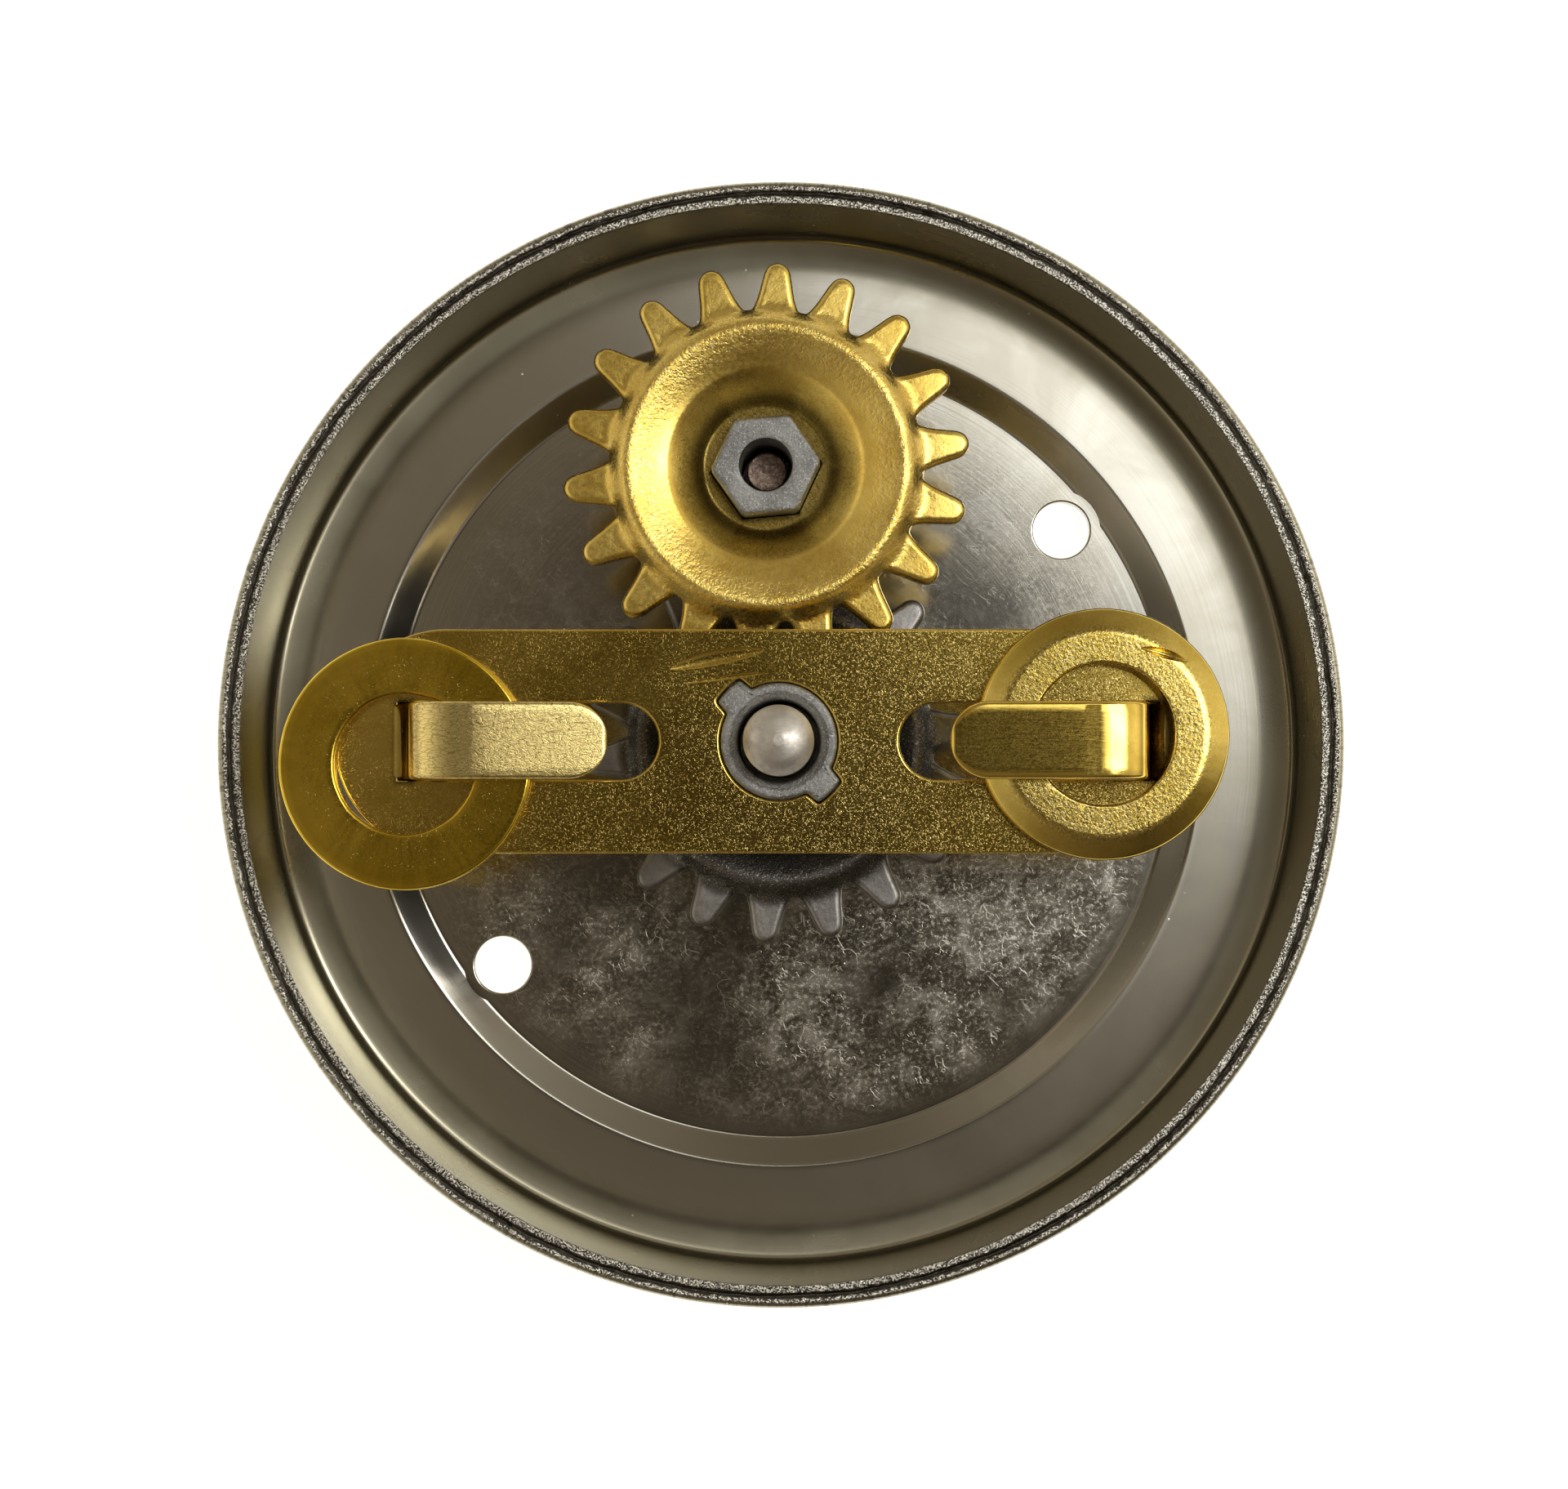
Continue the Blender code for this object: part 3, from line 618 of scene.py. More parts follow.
def build_rotor_hub(material):
    """Cast hub: pinion with a keyed round boss, dished round its bore."""
    bottom = HUB_LOW[2]
    top = HUB_HIGH[2]
    shoulder = ARM_LOW[2] - 0.05
    phase = meshing_phase(UPPER_PHASE, LAYSHAFT_ANGLE + 180.0)
    hub = from_mesh("rotor_hub_cast", pinion_mesh("hub", phase, bottom, shoulder, (0, 0), HUB_BORE))
    outline = keyed_outline(HUB, LUG_REACH, LUG_WIDTH)
    normal = outward(outline)
    count = len(outline)
    reach = np.linalg.norm(outline, axis=1)
    fall = 0.16 * np.clip((reach - HUB - 0.1) / 0.5, 0, 1)
    rings = [ring_at(count, HUB_BORE, shoulder - 0.6), lifted(outline, shoulder - 0.6)]
    for inset, drop in ((0.0, 0.30), (0.03, 0.16), (0.09, 0.07), (0.18, 0.02), (0.3, 0.0)):
        rings.append(lifted(outline - normal * inset, top - drop - fall))
    for radius, drop in (
        (3.32, 0.0), (3.2, 0.0), (3.12, 0.02), (3.02, 0.09), (2.86, 0.17), (2.72, 0.23), (2.64, 0.32),
        (HUB_BORE, 0.45),
    ):
        rings.append(ring_at(count, radius, top - drop))
    boolean(hub, skin_mesh("boss", rings, "loop"), "UNION")
    smooth_cut(hub, 35.0)
    dress(hub, "rotor", ["rotor_hub"], material)


def plate_mesh(name, outlines, bottom, top, edge):
    """Flat plate with holes and softly rounded edges, from closed outlines."""
    curve = bpy.data.curves.new(name, "CURVE")
    curve.dimensions = "2D"
    curve.fill_mode = "BOTH"
    curve.extrude = ((top - bottom) / 2 - edge) * MM
    curve.bevel_depth = edge * MM
    curve.bevel_resolution = 3
    curve.offset = -edge * MM
    for outline in outlines:
        spline = curve.splines.new("POLY")
        spline.points.add(len(outline) - 1)
        for point, (x, y) in zip(spline.points, outline):
            point.co = (x * MM, y * MM, 0.0, 1.0)
        spline.use_cyclic_u = True
    item = from_mesh(name, curve)
    mesh = evaluated_mesh(item)
    bpy.data.objects.remove(item, do_unlink=True)
    mesh.transform(Matrix.Translation((0, 0, (top + bottom) / 2 * MM)))
    tidy_mesh(mesh, 40.0)
    return mesh


def arc_points(x, y, radius, start, end, steps):
    """Points along an arc, in degrees."""
    turn = np.radians(np.linspace(start, end, steps + 1))
    return np.stack([x + radius * np.cos(turn), y + radius * np.sin(turn)], -1)


def tongue_mesh(name, side, droop):
    """Bent hook: up from the arm, then back over the slot, drooping by an angle to its round end."""
    sheet = ARM_SHEET * 0.97
    root_height = ARM_TOP - 0.012 + TONGUE_ROOT
    inner = TONGUE_FACE + TONGUE_ROOT
    reach, rise = (size - sheet / 2 for size in TONGUE_BEND)
    bend_height = ARM_HIGH[2] - TONGUE_BEND[1]
    bend = TONGUE_FACE - TONGUE_BEND[0]
    turn = np.radians(np.linspace(0.0, 90.0, 22))
    middle = np.concatenate([
        [(inner + 0.8, root_height - TONGUE_ROOT - sheet / 2)],
        arc_points(inner, root_height, TONGUE_ROOT + sheet / 2, 270.0, 180.0, 14),
        np.stack([bend + reach * np.cos(turn), bend_height + rise * np.sin(turn)], -1),
    ])
    flat = np.concatenate([
        np.linspace(bend - 0.3, TONGUE_END + 2.6, 28), TONGUE_END + 2.4 * np.linspace(1.0, 0.0, 28) ** 2,
    ])
    past = np.maximum(TONGUE_DROOP_START - flat, 0.0)
    sag = math.tan(math.radians(droop)) * past ** 2 / (past + 0.7)
    tail = np.stack([flat, ARM_HIGH[2] - sheet / 2 - sag], -1)
    path = np.concatenate([middle, tail])
    along = np.gradient(path, axis=0)
    along /= np.linalg.norm(along, axis=1, keepdims=True)
    up = np.stack([-along[:, 1], along[:, 0]], -1)
    half = TONGUE_WIDTH / 2
    rings = []
    corners = [
        (half, -sheet / 2, 0.10), (half, sheet / 2, 0.26),
        (-half, sheet / 2, 0.26), (-half, -sheet / 2, 0.10),
    ]
    section = spread(rounded(corners, 4, closed=True), 0.5, closed=True)
    for (x, z), normal in zip(path, up):
        from_end = x - TONGUE_END
        narrow = 1.0
        if from_end < half and z > bend_height:
            narrow = 0.04 + 0.96 * math.sqrt(max(0.0, 1 - (1 - from_end / half) ** 2))
        lift = -section[:, 1]
        width = section[:, 0] * narrow
        if from_end < 0.3 and z > bend_height:
            lift = lift * (0.45 + 0.55 * math.sqrt(1 - (1 - from_end / 0.3) ** 2))
        rings.append(np.stack([
            side * (x + normal[0] * lift), side * width, z + normal[1] * lift,
        ], -1))
    return skin_mesh(name, rings, "caps", 45.0)


def leaf_mesh(centre, half_length, half_width, depth, turn, height):
    """Cutter for a leaf-shaped dent: pointed at both ends, bowed a little."""
    count = 20
    angle = turns(count)
    a = math.radians(turn)
    rings = []
    for t in np.linspace(-0.995, 0.995, 25):
        taper = (1 - t * t) ** 0.8
        x = np.full(count, half_length * t)
        y = half_width * taper * np.cos(angle) + 0.35 * half_width * (1 - t * t)
        z = depth * taper * np.sin(angle) * np.where(np.sin(angle) > 0, 2.0, 1.0)
        rings.append(np.stack([
            centre[0] + x * math.cos(a) - y * math.sin(a),
            centre[1] + x * math.sin(a) + y * math.cos(a),
            height + z,
        ], -1))
    return skin_mesh("leaf", rings, "points")


def build_arm(material):
    """Arm with keyed hole, slots and hooks, joined into one piece."""
    straight = ARM_HALF_LENGTH - ARM_HALF_WIDTH
    outline = np.concatenate([
        arc_points(straight, 0, ARM_HALF_WIDTH, -90, 90, 48),
        arc_points(-straight, 0, ARM_HALF_WIDTH, 90, 270, 48),
    ])
    half = SLOT_WIDTH / 2
    slot = np.concatenate([
        arc_points(SLOT_INNER + half, 0, half, 90, 270, 24), [(SLOT_OUTER, -half), (SLOT_OUTER, half)],
    ])
    keyed = keyed_outline(HUB + 0.06, LUG_REACH + 0.10, LUG_WIDTH + 0.12)
    mesh = plate_mesh("arm", [outline, slot, -slot, keyed], ARM_LOW[2], ARM_TOP, 0.17)
    arm = from_mesh("rotor_arm_plate", mesh)
    for side, droop in ((1, 1.0), (-1, 6.5)):
        boolean(arm, tongue_mesh("tongue", side, droop), "UNION")
    gouge = leaf_mesh((-3.85, 5.10), 3.3, 0.52, 0.10, 11.0, ARM_TOP + 0.02)
    scratch = leaf_mesh((-3.3, 3.95), 2.9, 0.16, 0.05, 7.0, ARM_TOP + 0.01)
    for mark in (gouge, scratch):
        boolean(arm, mark, "DIFFERENCE")
    smooth_cut(arm, 40.0)
    dress(arm, "rotor", ["rotor_arm"], material)


def washer_place(node):
    """Centre of a washer and its underside, which lies lower than its CAD node's."""
    low, high = node_box(node)
    return (low + high)[:2] / 2, low[2] - WASHER_SINK


def washer_mesh(name, node, top_edge):
    """Loose washer, a little out of true; top_edge is its outer edge as (inset, drop, fillet)."""
    centre, bottom = washer_place(node)
    top = bottom + WASHER_SHEET
    corners = [(WASHER - inset, top - drop, fillet) for inset, drop, fillet in top_edge]
    corners += [(WASHER, bottom, 0.15), (WASHER_HOLE, bottom, 0.15), (WASHER_HOLE, top, 0.20)]
    profile = spread(rounded(corners, 8, closed=True), 0.4, closed=True)
    steps = 320
    around = compass(steps)
    rings = []
    for r, z in profile:
        place = Vector((centre[0], 0.0, 0.4 * r))
        wave = np.array([noise.noise(v * 4.0 + place) + 0.35 * noise.noise(v * 17.0 + place) for v in around])
        near_edge = 1.0 if r < WASHER_HOLE + 0.25 else 0.4
        height = z + 0.007 * wave if z > top - 0.5 else z
        rings.append(ring_at(steps, r + 0.035 * wave * near_edge, height, centre))
    return skin_mesh(name, rings, "loop", 45.0)


def build_washers(smooth, speckled):
    """The two striker washers; the right one has a broad rolled edge and a crack."""
    edge = [(0.0, 0.0, 0.22)]
    left = from_mesh("washer_left_loose", washer_mesh("washer_left", "striker_washer_left", edge))
    dress(left, "striker_left", ["striker_washer_left"], smooth)
    edge = [(1.45, 0.0, 1.4), (0.0, 0.55, 0.35)]
    right = from_mesh("washer_right_loose", washer_mesh("washer_right", "striker_washer_right", edge))
    centre, bottom = washer_place("striker_washer_right")
    crack = leaf_mesh(centre + (3.8, 4.9), 1.6, 0.30, 0.50, -17.0, bottom + WASHER_SHEET)
    boolean(right, crack, "DIFFERENCE")
    smooth_cut(right, 45.0)
    dress(right, "striker_right", ["striker_washer_right"], speckled)


# --- materials

def darker(colour, share):
    """A colour scaled down to a share."""
    return tuple(share * c for c in colour)


class Nodes:
    """Short calls for building a node tree."""

    def __init__(self, tree, coordinates):
        self.tree = tree
        self.place = tree.nodes.new("ShaderNodeTexCoord").outputs[coordinates]

    def put(self, target, value):
        """Connect an output or set a plain value."""
        if isinstance(value, bpy.types.NodeSocket):
            self.tree.links.new(value, target)
        else:
            target.default_value = value

    def mapped(self, place, turn, scale):
        """Coordinates turned about Z in degrees and then scaled."""
        for name, value in (("Rotation", (0.0, 0.0, math.radians(turn))), ("Scale", scale)):
            node = self.tree.nodes.new("ShaderNodeMapping")
            self.put(node.inputs["Vector"], place)
            node.inputs[name].default_value = value
            place = node.outputs["Vector"]
        return place

    def math(self, operation, a, b=0.0):
        """One arithmetic step."""
        node = self.tree.nodes.new("ShaderNodeMath")
        node.operation = operation
        self.put(node.inputs[0], a)
        self.put(node.inputs[1], b)
        return node.outputs[0]

    def product(self, first, *others):
        """Product of several values."""
        for other in others:
            first = self.math("MULTIPLY", first, other)
        return first

    def total(self, first, *others):
        """Sum of several values."""
        for other in others:
            first = self.math("ADD", first, other)
        return first

    def most(self, first, *others):
        """Greatest of several values."""
        for other in others:
            first = self.math("MAXIMUM", first, other)
        return first

    def noise(self, scale, detail=3.0, roughness=0.55, distortion=0.0, place=None):
        """Noise with scale features per millimetre."""
        node = self.tree.nodes.new("ShaderNodeTexNoise")
        self.put(node.inputs["Vector"], place or self.place)
        node.inputs["Scale"].default_value = scale
        node.inputs["Detail"].default_value = detail
        node.inputs["Roughness"].default_value = roughness
        node.inputs["Distortion"].default_value = distortion
        return node.outputs["Fac"]

    def cells(self, scale, feature="F1", place=None):
        """Distance to the nearest cell's point or edge."""
        node = self.tree.nodes.new("ShaderNodeTexVoronoi")
        node.feature = feature
        self.put(node.inputs["Vector"], place or self.place)
        node.inputs["Scale"].default_value = scale
        return node.outputs["Distance"]

    def band(self, value, low, high, out_low=0.0, out_high=1.0):
        """Soft step from one value to another, clamped."""
        node = self.tree.nodes.new("ShaderNodeMapRange")
        node.interpolation_type = "SMOOTHSTEP"
        limits = (("From Min", low), ("From Max", high), ("To Min", out_low), ("To Max", out_high))
        self.put(node.inputs["Value"], value)
        for name, number in limits:
            self.put(node.inputs[name], number)
        return node.outputs["Result"]

    def mix(self, share, a, b):
        """Colour mix; a and b are colours or outputs."""
        node = self.tree.nodes.new("ShaderNodeMix")
        node.data_type = "RGBA"
        self.put(node.inputs[0], share)
        for index, value in ((6, a), (7, b)):
            self.put(node.inputs[index], (*value, 1.0) if isinstance(value, tuple) else value)
        return node.outputs[2]

    def bump(self, height, depth, normal=None):
        """Bump whose full height is a depth in millimetres."""
        node = self.tree.nodes.new("ShaderNodeBump")
        node.inputs["Strength"].default_value = 1.0
        node.inputs["Distance"].default_value = depth * MM
        self.put(node.inputs["Height"], height)
        if normal is not None:
            self.put(node.inputs["Normal"], normal)
        return node.outputs["Normal"]

    def axes(self):
        """The three coordinates."""
        node = self.tree.nodes.new("ShaderNodeSeparateXYZ")
        self.put(node.inputs["Vector"], self.place)
        return node.outputs["X"], node.outputs["Y"], node.outputs["Z"]

    def vector(self, x, y, z):
        """Coordinates from three values."""
        node = self.tree.nodes.new("ShaderNodeCombineXYZ")
        for index, value in enumerate((x, y, z)):
            self.put(node.inputs[index], value)
        return node.outputs["Vector"]

    def around(self, centre=(0.0, 0.0)):
        """Distance from an upright axis and the unit direction from it."""
        x, y, _ = self.axes()
        x = self.math("SUBTRACT", x, float(centre[0]))
        y = self.math("SUBTRACT", y, float(centre[1]))
        radius = self.math("SQRT", self.total(self.product(x, x), self.product(y, y), 0.0001))
        direction = self.vector(self.math("DIVIDE", x, radius), self.math("DIVIDE", y, radius), 0.0)
        return radius, direction

    def nicks(self, turn, across, along, low, high):
        """Short straight nicks in one direction."""
        place = self.mapped(self.place, turn, (across, along, 1.0))
        return self.band(self.noise(1.0, 1.0, 0.4, place=place), low, high)


class Surface(Nodes):
    """A Principled material in millimetre coordinates."""

    def __init__(self, name):
        self.material = bpy.data.materials.new(name)
        self.material.use_nodes = True
        super().__init__(self.material.node_tree, "Object")
        self.shader = self.tree.nodes["Principled BSDF"]
        self.place = self.mapped(self.place, 0.0, (1000.0, 1000.0, 1000.0))

    def finish(self, colour, roughness, normal, metallic=1.0):
        """Connect the shader."""
        self.put(self.shader.inputs["Base Color"], colour)
        self.put(self.shader.inputs["Roughness"], roughness)
        self.put(self.shader.inputs["Normal"], normal)
        self.shader.inputs["Metallic"].default_value = metallic
        return self.material


def nickel_material():
    """Worn nickel plate: smooth ring and wall, scratched centre, torn rim; painted shade on the outer ring
    and wall, on the step's slope and in the rim's valley, with painted glints on the rim.
    """
    g = Surface("nickel_plate_worn")
    x, y, z = g.axes()
    radius, direction = g.around()
    top = float(DISH_HIGH[2])
    disc = g.band(radius, STEP_FOOT + 0.2, STEP_FOOT - 2.5)
    rim = g.product(g.band(z, top - 0.35, top - 0.25), g.band(radius, 35.75, 35.6))
    shoulder = g.product(g.band(z, top - 0.6, top - 0.3), g.band(radius, 35.55, 35.65))

    stain = g.noise(0.12, 4.0, 0.6, 0.6)
    colour = g.mix(g.band(stain, 0.35, 0.68), (0.69, 0.675, 0.59), (0.59, 0.565, 0.47))
    # Painted shade: the outer ring darkens as it curves up into the wall, and the wall stays dark.
    wall = g.band(radius, 31.0, 33.0)
    colour = g.mix(wall, colour, (0.42, 0.395, 0.29))

    # Scratches, specks and haze crowd in the lower part of the centre
    zone = g.product(g.band(g.noise(0.11, 2.0), 0.34, 0.56, 0.35, 1.0), g.band(y, 8.0, -9.0, 0.30, 1.0))
    warp = g.noise(0.9, 2.0)
    bent = g.vector(g.total(x, g.product(warp, 2.2)), g.total(y, g.product(warp, -1.8)), z)
    hairs = g.product(
        g.band(g.cells(0.75, "DISTANCE_TO_EDGE", bent), 0.022, 0.006), g.band(g.noise(0.9, 2.0), 0.54, 0.62)
    )
    fine_hairs = g.product(
        g.band(g.cells(1.9, "DISTANCE_TO_EDGE", bent), 0.040, 0.010), g.band(g.noise(1.7, 1.0), 0.58, 0.66)
    )
    specks = g.product(g.band(g.cells(1.6), 0.11, 0.05), g.band(g.noise(0.5, 2.0), 0.48, 0.60))
    grit = g.band(g.noise(3.4, 5.0, 0.75), 0.50, 0.66)
    haze = g.band(g.noise(0.36, 7.0, 0.74, 0.8), 0.40, 0.64)
    marks = g.most(g.product(hairs, 0.45), g.product(fine_hairs, 0.35), g.product(specks, 0.8))
    marks = g.product(marks, zone, disc)
    rare = g.product(g.band(g.cells(0.55), 0.045, 0.020), g.band(g.noise(0.2, 1.0), 0.52, 0.60))
    marks = g.most(marks, rare)
    mottle = g.product(g.total(g.product(haze, 0.7), g.product(grit, 0.6)), zone, disc)
    slope = g.product(g.band(radius, STEP_FOOT - 0.4, STEP_FOOT + 0.3), g.band(radius, 28.6, 27.8))

    streaks = g.noise(26.0, 2.0, 0.6, place=direction)
    around = g.vector(g.product(radius, 5.0), g.product(x, 0.05), g.product(y, 0.05))
    rings = g.noise(1.0, 2.0, 0.5, place=around)
    roughness = g.total(
        g.band(stain, 0.3, 0.7, 0.10, 0.14), g.product(mottle, 0.16), g.product(marks, 0.28),
        g.band(radius, 27.6, 28.6, 0.0, 0.06), g.band(radius, 32.2, 33.0, 0.0, 0.08),
        g.product(slope, g.band(g.total(x, y), -8.0, 8.0, 0.0, 0.14)),
    )
    # Painted shade on the step's slope: darker all round, darkest towards the lower left.
    slope_shade = g.product(slope, g.band(g.total(x, y), 0.0, -20.0, 0.4, 0.9))
    colour = g.mix(slope_shade, colour, (0.34, 0.32, 0.27))
    colour = g.mix(g.product(mottle, 0.45), colour, (0.84, 0.84, 0.77))
    colour = g.mix(g.product(marks, 0.85), colour, (0.95, 0.94, 0.90))

    # Sheared rim: near-black with bright grains as painted glints, most on the inner lip and outer band, and
    # a painted shadow in the torn valley
    ragged = g.total(radius, g.product(g.noise(2.6, 5.0, 0.75), 0.80), -0.40)
    groove_shadow = g.product(g.band(ragged, 34.94, 35.00), g.band(ragged, 35.46, 35.38))
    crystals = g.noise(9.0, 3.0, 0.75)
    glitter = g.product(g.band(crystals, 0.46, 0.58), g.total(1.0, g.product(groove_shadow, -0.95)))
    colour = g.mix(rim, colour, g.mix(glitter, (0.045, 0.04, 0.03), (0.80, 0.78, 0.69)))
    cracks = g.product(shoulder, g.band(g.cells(70.0, "DISTANCE_TO_EDGE", direction), 0.05, 0.0))
    colour = g.mix(g.product(cracks, 0.7), colour, (0.12, 0.11, 0.09))

    normal = g.bump(g.total(g.product(rings, 0.25), g.product(streaks, 0.4)), 0.004)
    normal = g.bump(g.most(marks, g.product(mottle, 0.35)), 0.006, normal)
    normal = g.bump(g.product(crystals, g.most(rim, g.product(shoulder, 0.25))), 0.045, normal)
    return g.finish(colour, roughness, normal)


def wheel_material(name, centre, light, dark, rough, inner_shade):
    """Plated wheel with orange-peel grain on its crest and painted shade on its funnel floor; the last
    argument is how much painted shade darkens it inside the teeth.
    """
    g = Surface(name)
    radius = g.around(centre)[0]
    cloud = g.noise(0.3, 4.0, 0.6)
    grain = g.noise(3.6, 3.0, 0.65)
    pits = g.noise(8.0, 2.0, 0.6)
    coarse = g.total(0.28, g.product(g.band(radius, 6.6, 7.8), g.band(radius, 10.6, 9.8), 0.85))
    colour = g.mix(g.band(cloud, 0.35, 0.68), light, dark)
    # Painted shade on the floor and foot of the funnel round the hexagon hole.
    colour = g.mix(g.band(radius, 5.2, 4.4, 0.0, 0.9), colour, darker(dark, 0.25))
    # Painted shade inside the teeth, as under the arm.
    colour = g.mix(g.band(radius, 10.9, 10.2, 0.0, inner_shade), colour, darker(dark, 0.15))
    sparkle = g.product(g.band(g.noise(11.0, 1.0, 0.5), 0.60, 0.68), coarse)
    colour = g.mix(g.product(sparkle, 0.5), colour, (0.96, 0.90, 0.74))
    roughness = g.total(g.band(grain, 0.3, 0.7, rough - 0.04, rough + 0.06), g.product(pits, 0.06))
    normal = g.bump(g.product(g.total(grain, g.product(pits, 0.45)), coarse), 0.042)
    return g.finish(colour, roughness, normal)


def flecks(g, density):
    """Fine bright flecks: short thin nicks in four directions."""
    low, high = 0.75 - 0.08 * density, 0.80 - 0.08 * density
    return g.most(
        g.nicks(12.0, 18.0, 3.5, low, high), g.nicks(75.0, 16.0, 4.5, low, high),
        g.nicks(-38.0, 15.0, 4.0, low, high), g.nicks(-80.0, 19.0, 5.0, low, high),
    )


def washer_material(name, node, light, dark, rough, nicked):
    """Brass plate on a washer; nicked is how coarse and how nicked its flat is."""
    g = Surface(name)
    radius = g.around(washer_place(node)[0])[0]
    flat = g.band(radius, WASHER - 0.8, WASHER - 1.5, 0.15, 1.0)
    cloud = g.noise(0.22, 5.0, 0.62, 0.5)
    colour = g.mix(g.band(cloud, 0.36, 0.66), light, dark)
    grain = g.noise(6.0, 3.0, 0.65)
    patches = g.band(g.noise(0.4, 3.0), 0.30, 0.60, 0.35, 1.0)
    nicks = g.product(flecks(g, 0.5 * nicked), patches, flat)
    colour = g.mix(g.product(nicks, 0.7), colour, (0.98, 0.86, 0.48))
    pits = g.product(g.band(g.noise(5.5, 3.0, 0.65), 0.50, 0.62), flat, nicked)
    colour = g.mix(g.product(pits, 0.60), colour, darker(dark, 0.30))
    bright = g.product(g.band(g.noise(6.5, 2.0, 0.6), 0.55, 0.64), flat, nicked)
    colour = g.mix(g.product(bright, 0.55), colour, (0.98, 0.89, 0.56))
    roughness = g.total(g.band(grain, 0.3, 0.7, rough - 0.03, rough + 0.03), g.product(nicks, 0.15))
    normal = g.bump(nicks, 0.002)
    normal = g.bump(g.product(g.noise(4.2, 3.0, 0.75), flat), 0.0010 + 0.0200 * nicked, normal)
    return g.finish(colour, roughness, normal)


def arm_material():
    """The arm's plating: drawn grain along both hooks, crackle and wear on the left one, and painted shade
    low round the hook roots.
    """
    g = Surface("brass_plate_arm")
    x, y, z = g.axes()
    hook = g.band(z, ARM_TOP + 0.5, ARM_TOP + 0.9)
    left = g.product(hook, g.band(x, 1.0, -1.0))
    cloud = g.noise(0.22, 5.0, 0.62, 0.5)
    colour = g.mix(g.band(cloud, 0.36, 0.66), (0.88, 0.65, 0.15), (0.68, 0.48, 0.09))
    grain = g.noise(6.0, 3.0, 0.65)
    patches = g.band(g.noise(0.35, 3.0), 0.30, 0.62, 0.35, 1.0)
    plain = g.math("SUBTRACT", 1.0, hook)
    lower_right = g.band(g.total(x, g.product(y, -1.5)), -12.0, 8.0, 0.35, 1.0)
    nicks = g.product(flecks(g, 0.85), patches, plain, lower_right)
    pits = g.product(g.band(g.noise(9.0, 2.0), 0.55, 0.64), patches, plain, lower_right)
    speckle = g.product(g.noise(18.0, 2.0, 0.65), plain, lower_right)
    drawn = g.noise(1.0, 4.0, 0.6, place=g.mapped(g.place, 0.0, (0.7, 5.0, 1.0)))
    stretched = g.mapped(g.place, 0.0, (1.6, 6.0, 2.0))
    crackle = g.product(g.band(g.cells(1.0, "DISTANCE_TO_EDGE", stretched), 0.08, 0.0), left)
    worn = g.product(g.noise(4.0, 4.0, 0.7), left)
    colour = g.mix(g.product(nicks, 0.7), colour, (0.98, 0.86, 0.48))
    colour = g.mix(g.product(pits, 0.80), colour, (0.16, 0.11, 0.02))
    colour = g.mix(g.product(left, 0.6), colour, (0.92, 0.80, 0.40))
    colour = g.mix(g.product(crackle, 0.7), colour, (0.30, 0.22, 0.06))
    # Painted shade: near-black low round the hook roots, out past the right hook, on the left only up to its
    # root.
    span = g.math("ABSOLUTE", x)
    root = g.product(g.band(span, TONGUE_FACE - 0.5, TONGUE_FACE), g.band(z, ARM_TOP + 2.0, ARM_TOP + 1.2))
    shade_reach = g.most(g.band(x, 0.0, 1.0), g.band(span, TONGUE_FACE + 1.4, TONGUE_FACE + 0.7))
    root = g.product(root, shade_reach, g.band(g.math("ABSOLUTE", y), 3.0, 2.4))
    colour = g.mix(g.product(root, 0.88), colour, (0.05, 0.03, 0.01))
    roughness = g.total(g.band(grain, 0.3, 0.7, 0.12, 0.17), g.product(nicks, 0.10), g.product(left, 0.08))
    normal = g.bump(g.total(nicks, g.product(crackle, -0.6)), 0.004)
    normal = g.bump(speckle, 0.0010, normal)
    normal = g.bump(worn, 0.012, normal)
    normal = g.bump(g.product(drawn, hook), 0.004, normal)
    return g.finish(colour, roughness, normal)


def zinc_material():
    """Die-cast zinc: matt grey with bright grains."""
    g = Surface("zinc_cast")
    grain = g.noise(4.5, 4.0, 0.7)
    sparkle = g.band(g.noise(8.0, 2.0, 0.6), 0.56, 0.66)
    cloud = g.noise(0.6, 3.0)
    colour = g.mix(g.band(cloud, 0.35, 0.65), (0.36, 0.365, 0.36), (0.25, 0.255, 0.25))
    colour = g.mix(g.product(sparkle, 0.7), colour, (0.66, 0.67, 0.66))
    roughness = g.band(grain, 0.3, 0.7, 0.38, 0.52)
    return g.finish(colour, roughness, g.bump(grain, 0.085))


def steel_material():
    """Turned steel: rings round the main axis, and a little tarnish."""
    g = Surface("steel_turned")
    radius = g.around()[0]
    rings = g.noise(1.0, 2.0, 0.6, place=g.vector(g.product(radius, 14.0), 0.0, 0.0))
    tarnish = g.noise(0.9, 4.0, 0.65)
    grain = g.noise(9.0, 3.0, 0.6)
    colour = g.mix(g.band(tarnish, 0.35, 0.68), (0.66, 0.63, 0.57), (0.48, 0.45, 0.40))
    roughness = g.band(tarnish, 0.3, 0.7, 0.42, 0.54)
    return g.finish(colour, roughness, g.bump(g.total(g.product(rings, 0.5), g.product(grain, 0.5)), 0.020))


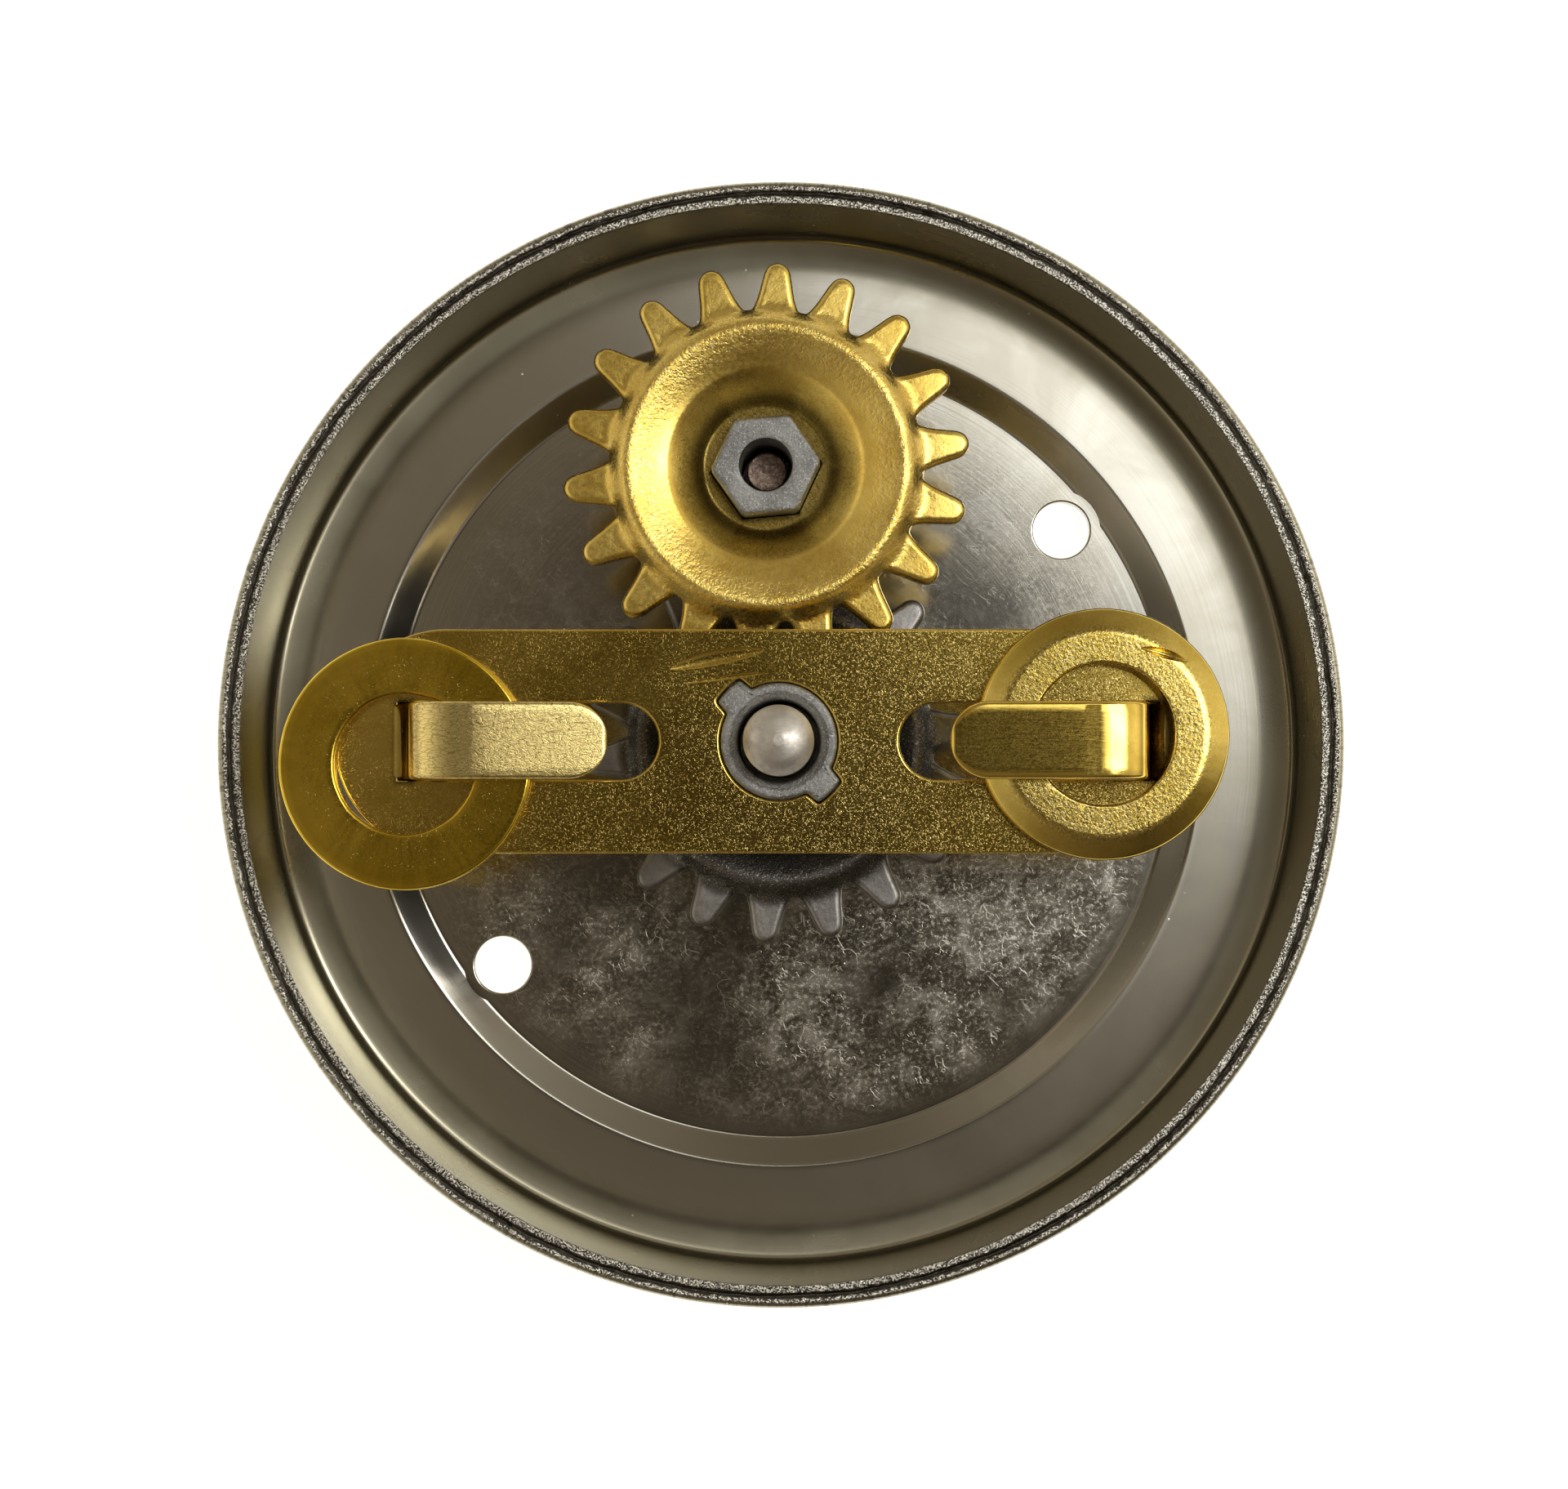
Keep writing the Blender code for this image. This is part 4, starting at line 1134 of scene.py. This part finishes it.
def pin_material():
    """Cut end of a steel pin: coarse, coppery brown."""
    g = Surface("steel_cut_end")
    coarse = g.noise(2.6, 4.0, 0.7)
    bright = g.band(g.noise(4.5, 2.0), 0.56, 0.66)
    colour = g.mix(g.band(coarse, 0.35, 0.65), (0.52, 0.38, 0.30), (0.26, 0.18, 0.14))
    colour = g.mix(g.product(bright, 0.7), colour, (0.80, 0.68, 0.60))
    roughness = g.band(coarse, 0.3, 0.7, 0.30, 0.50)
    return g.finish(colour, roughness, g.bump(coarse, 0.10))


def bronze_material():
    """Sintered bronze: fine pores."""
    g = Surface("bronze_sintered")
    pores = g.band(g.cells(6.0), 0.10, 0.35)
    cloud = g.noise(0.5, 3.0)
    colour = g.mix(g.band(cloud, 0.35, 0.65), (0.56, 0.38, 0.20), (0.42, 0.28, 0.15))
    roughness = g.band(pores, 0.0, 1.0, 0.60, 0.42)
    return g.finish(colour, roughness, g.bump(pores, 0.02))


# --- stage

def look_at(item, target):
    """Point an object's -Z at a place, with +Y upwards in its view."""
    back = (item.location - Vector(target)).normalized()
    right = Vector((0.0, 1.0, 0.0)).cross(back).normalized()
    turn = Matrix((right, back.cross(right), back)).transposed().to_4x4()
    item.matrix_world = Matrix.Translation(item.location) @ turn


def build_camera():
    """Almost straight down, a little right of and below the axis."""
    data = bpy.data.cameras.new("camera")
    data.sensor_width = 36.0
    data.lens = LENS
    data.clip_start = 0.01
    camera = bpy.data.objects.new("camera", data)
    bpy.context.scene.collection.objects.link(camera)
    camera.location = [size * MM for size in CAMERA]
    look_at(camera, [size * MM for size in AIM])
    bpy.context.scene.camera = camera


def softbox(name, azimuth, tilt, turn, size, radiance):
    """Rectangular light aimed at the dish: azimuth from +X, tilt from straight up, own turn."""
    distance = 0.5
    data = bpy.data.lights.new(name, "AREA")
    data.shape = "RECTANGLE"
    data.size, data.size_y = size
    data.energy = radiance * math.pi * size[0] * size[1]
    light = bpy.data.objects.new(name, data)
    bpy.context.scene.collection.objects.link(light)
    a = math.radians(azimuth)
    t = math.radians(tilt)
    light.location = Vector((math.sin(t) * math.cos(a), math.sin(t) * math.sin(a), math.cos(t))) * distance
    look_at(light, (0.0, 0.0, 0.01))
    light.matrix_world = light.matrix_world @ Matrix.Rotation(math.radians(turn), 4, "Z")


def height_at(tilt):
    """Height on a unit sphere at a tilt from straight up, in degrees."""
    return math.cos(math.radians(tilt))


def build_room():
    """Dim warm room: pale sides, a lighter far right, a darker near right and a dark spot overhead."""
    world = bpy.data.worlds.new("studio")
    world.use_nodes = True
    g = Nodes(world.node_tree, "Generated")
    x, y, z = g.axes()
    corner = g.most(g.product(g.total(x, y), 0.18), 0.0)
    sides = g.product(x, x, g.band(z, 0.05, 0.50, 0.15, 1.15))
    level = g.total(sides, corner, g.band(z, height_at(20.0), height_at(10.0), 0.13, 0.17))
    dim = g.most(g.total(1.0, g.product(g.most(x, 0.0), g.math("MINIMUM", y, 0.0), 3.3)), 0.25)
    level = g.product(level, dim, g.band(z, height_at(3.5), height_at(9.0), 0.12, 1.0))
    background = g.tree.nodes["Background"]
    g.put(background.inputs["Color"], g.mix(g.band(level, 0.08, 0.50), (1.0, 0.78, 0.54), (1.0, 0.90, 0.74)))
    g.put(background.inputs["Strength"], level)
    bpy.context.scene.world = world


def build_stage():
    """Pale floor, two softboxes and the room."""
    floor_mesh = bpy.data.meshes.new("floor")
    work = bmesh.new()
    bmesh.ops.create_grid(work, x_segments=8, y_segments=8, size=1.2)
    bmesh.ops.translate(work, verts=work.verts, vec=(0.0, 0.0, -0.0002))
    work.to_mesh(floor_mesh)
    work.free()
    floor = from_mesh("floor", floor_mesh)
    g = Surface("paper")
    tone = g.mix(g.noise(0.02, 2.0), (0.86, 0.86, 0.86), (0.90, 0.90, 0.90))
    g.shader.inputs["Emission Color"].default_value = (1.0, 1.0, 1.0, 1.0)
    g.shader.inputs["Emission Strength"].default_value = 0.80
    floor_mesh.materials.append(g.finish(tone, 0.9, g.bump(g.noise(1.5, 3.0), 0.01), metallic=0.0))

    build_room()
    softbox("key", 17.0, 29.0, 20.0, (0.20, 0.22), 5.5)
    softbox("panel", 39.3, 14.8, 45.0, (0.10, 0.20), 1.7)
    bpy.context.scene.view_settings.view_transform = "Standard"


def main():
    """Build every piece, the stage and the camera."""
    zinc = zinc_material()
    build_dish(nickel_material())
    build_bush(bronze_material())
    build_pin(pin_material())
    build_spindle(steel_material())
    build_wheels(
        wheel_material("grey_plate_wheel", (0.0, 0.0), (0.38, 0.37, 0.35), (0.26, 0.25, 0.24), 0.36, 0.65),
        wheel_material("brass_plate_wheel", LAYSHAFT, (0.90, 0.67, 0.17), (0.72, 0.50, 0.10), 0.24, 0.0),
    )
    build_layshaft_hub(zinc)
    build_rotor_hub(zinc)
    build_arm(arm_material())
    dull = washer_material(
        "brass_washer_dull", "striker_washer_left", (0.86, 0.61, 0.07), (0.66, 0.45, 0.04), 0.17, 0.15
    )
    nicked = washer_material(
        "brass_washer_nicked", "striker_washer_right", (0.76, 0.57, 0.14), (0.62, 0.45, 0.08), 0.15, 0.9
    )
    build_washers(dull, nicked)
    build_stage()
    build_camera()


main()
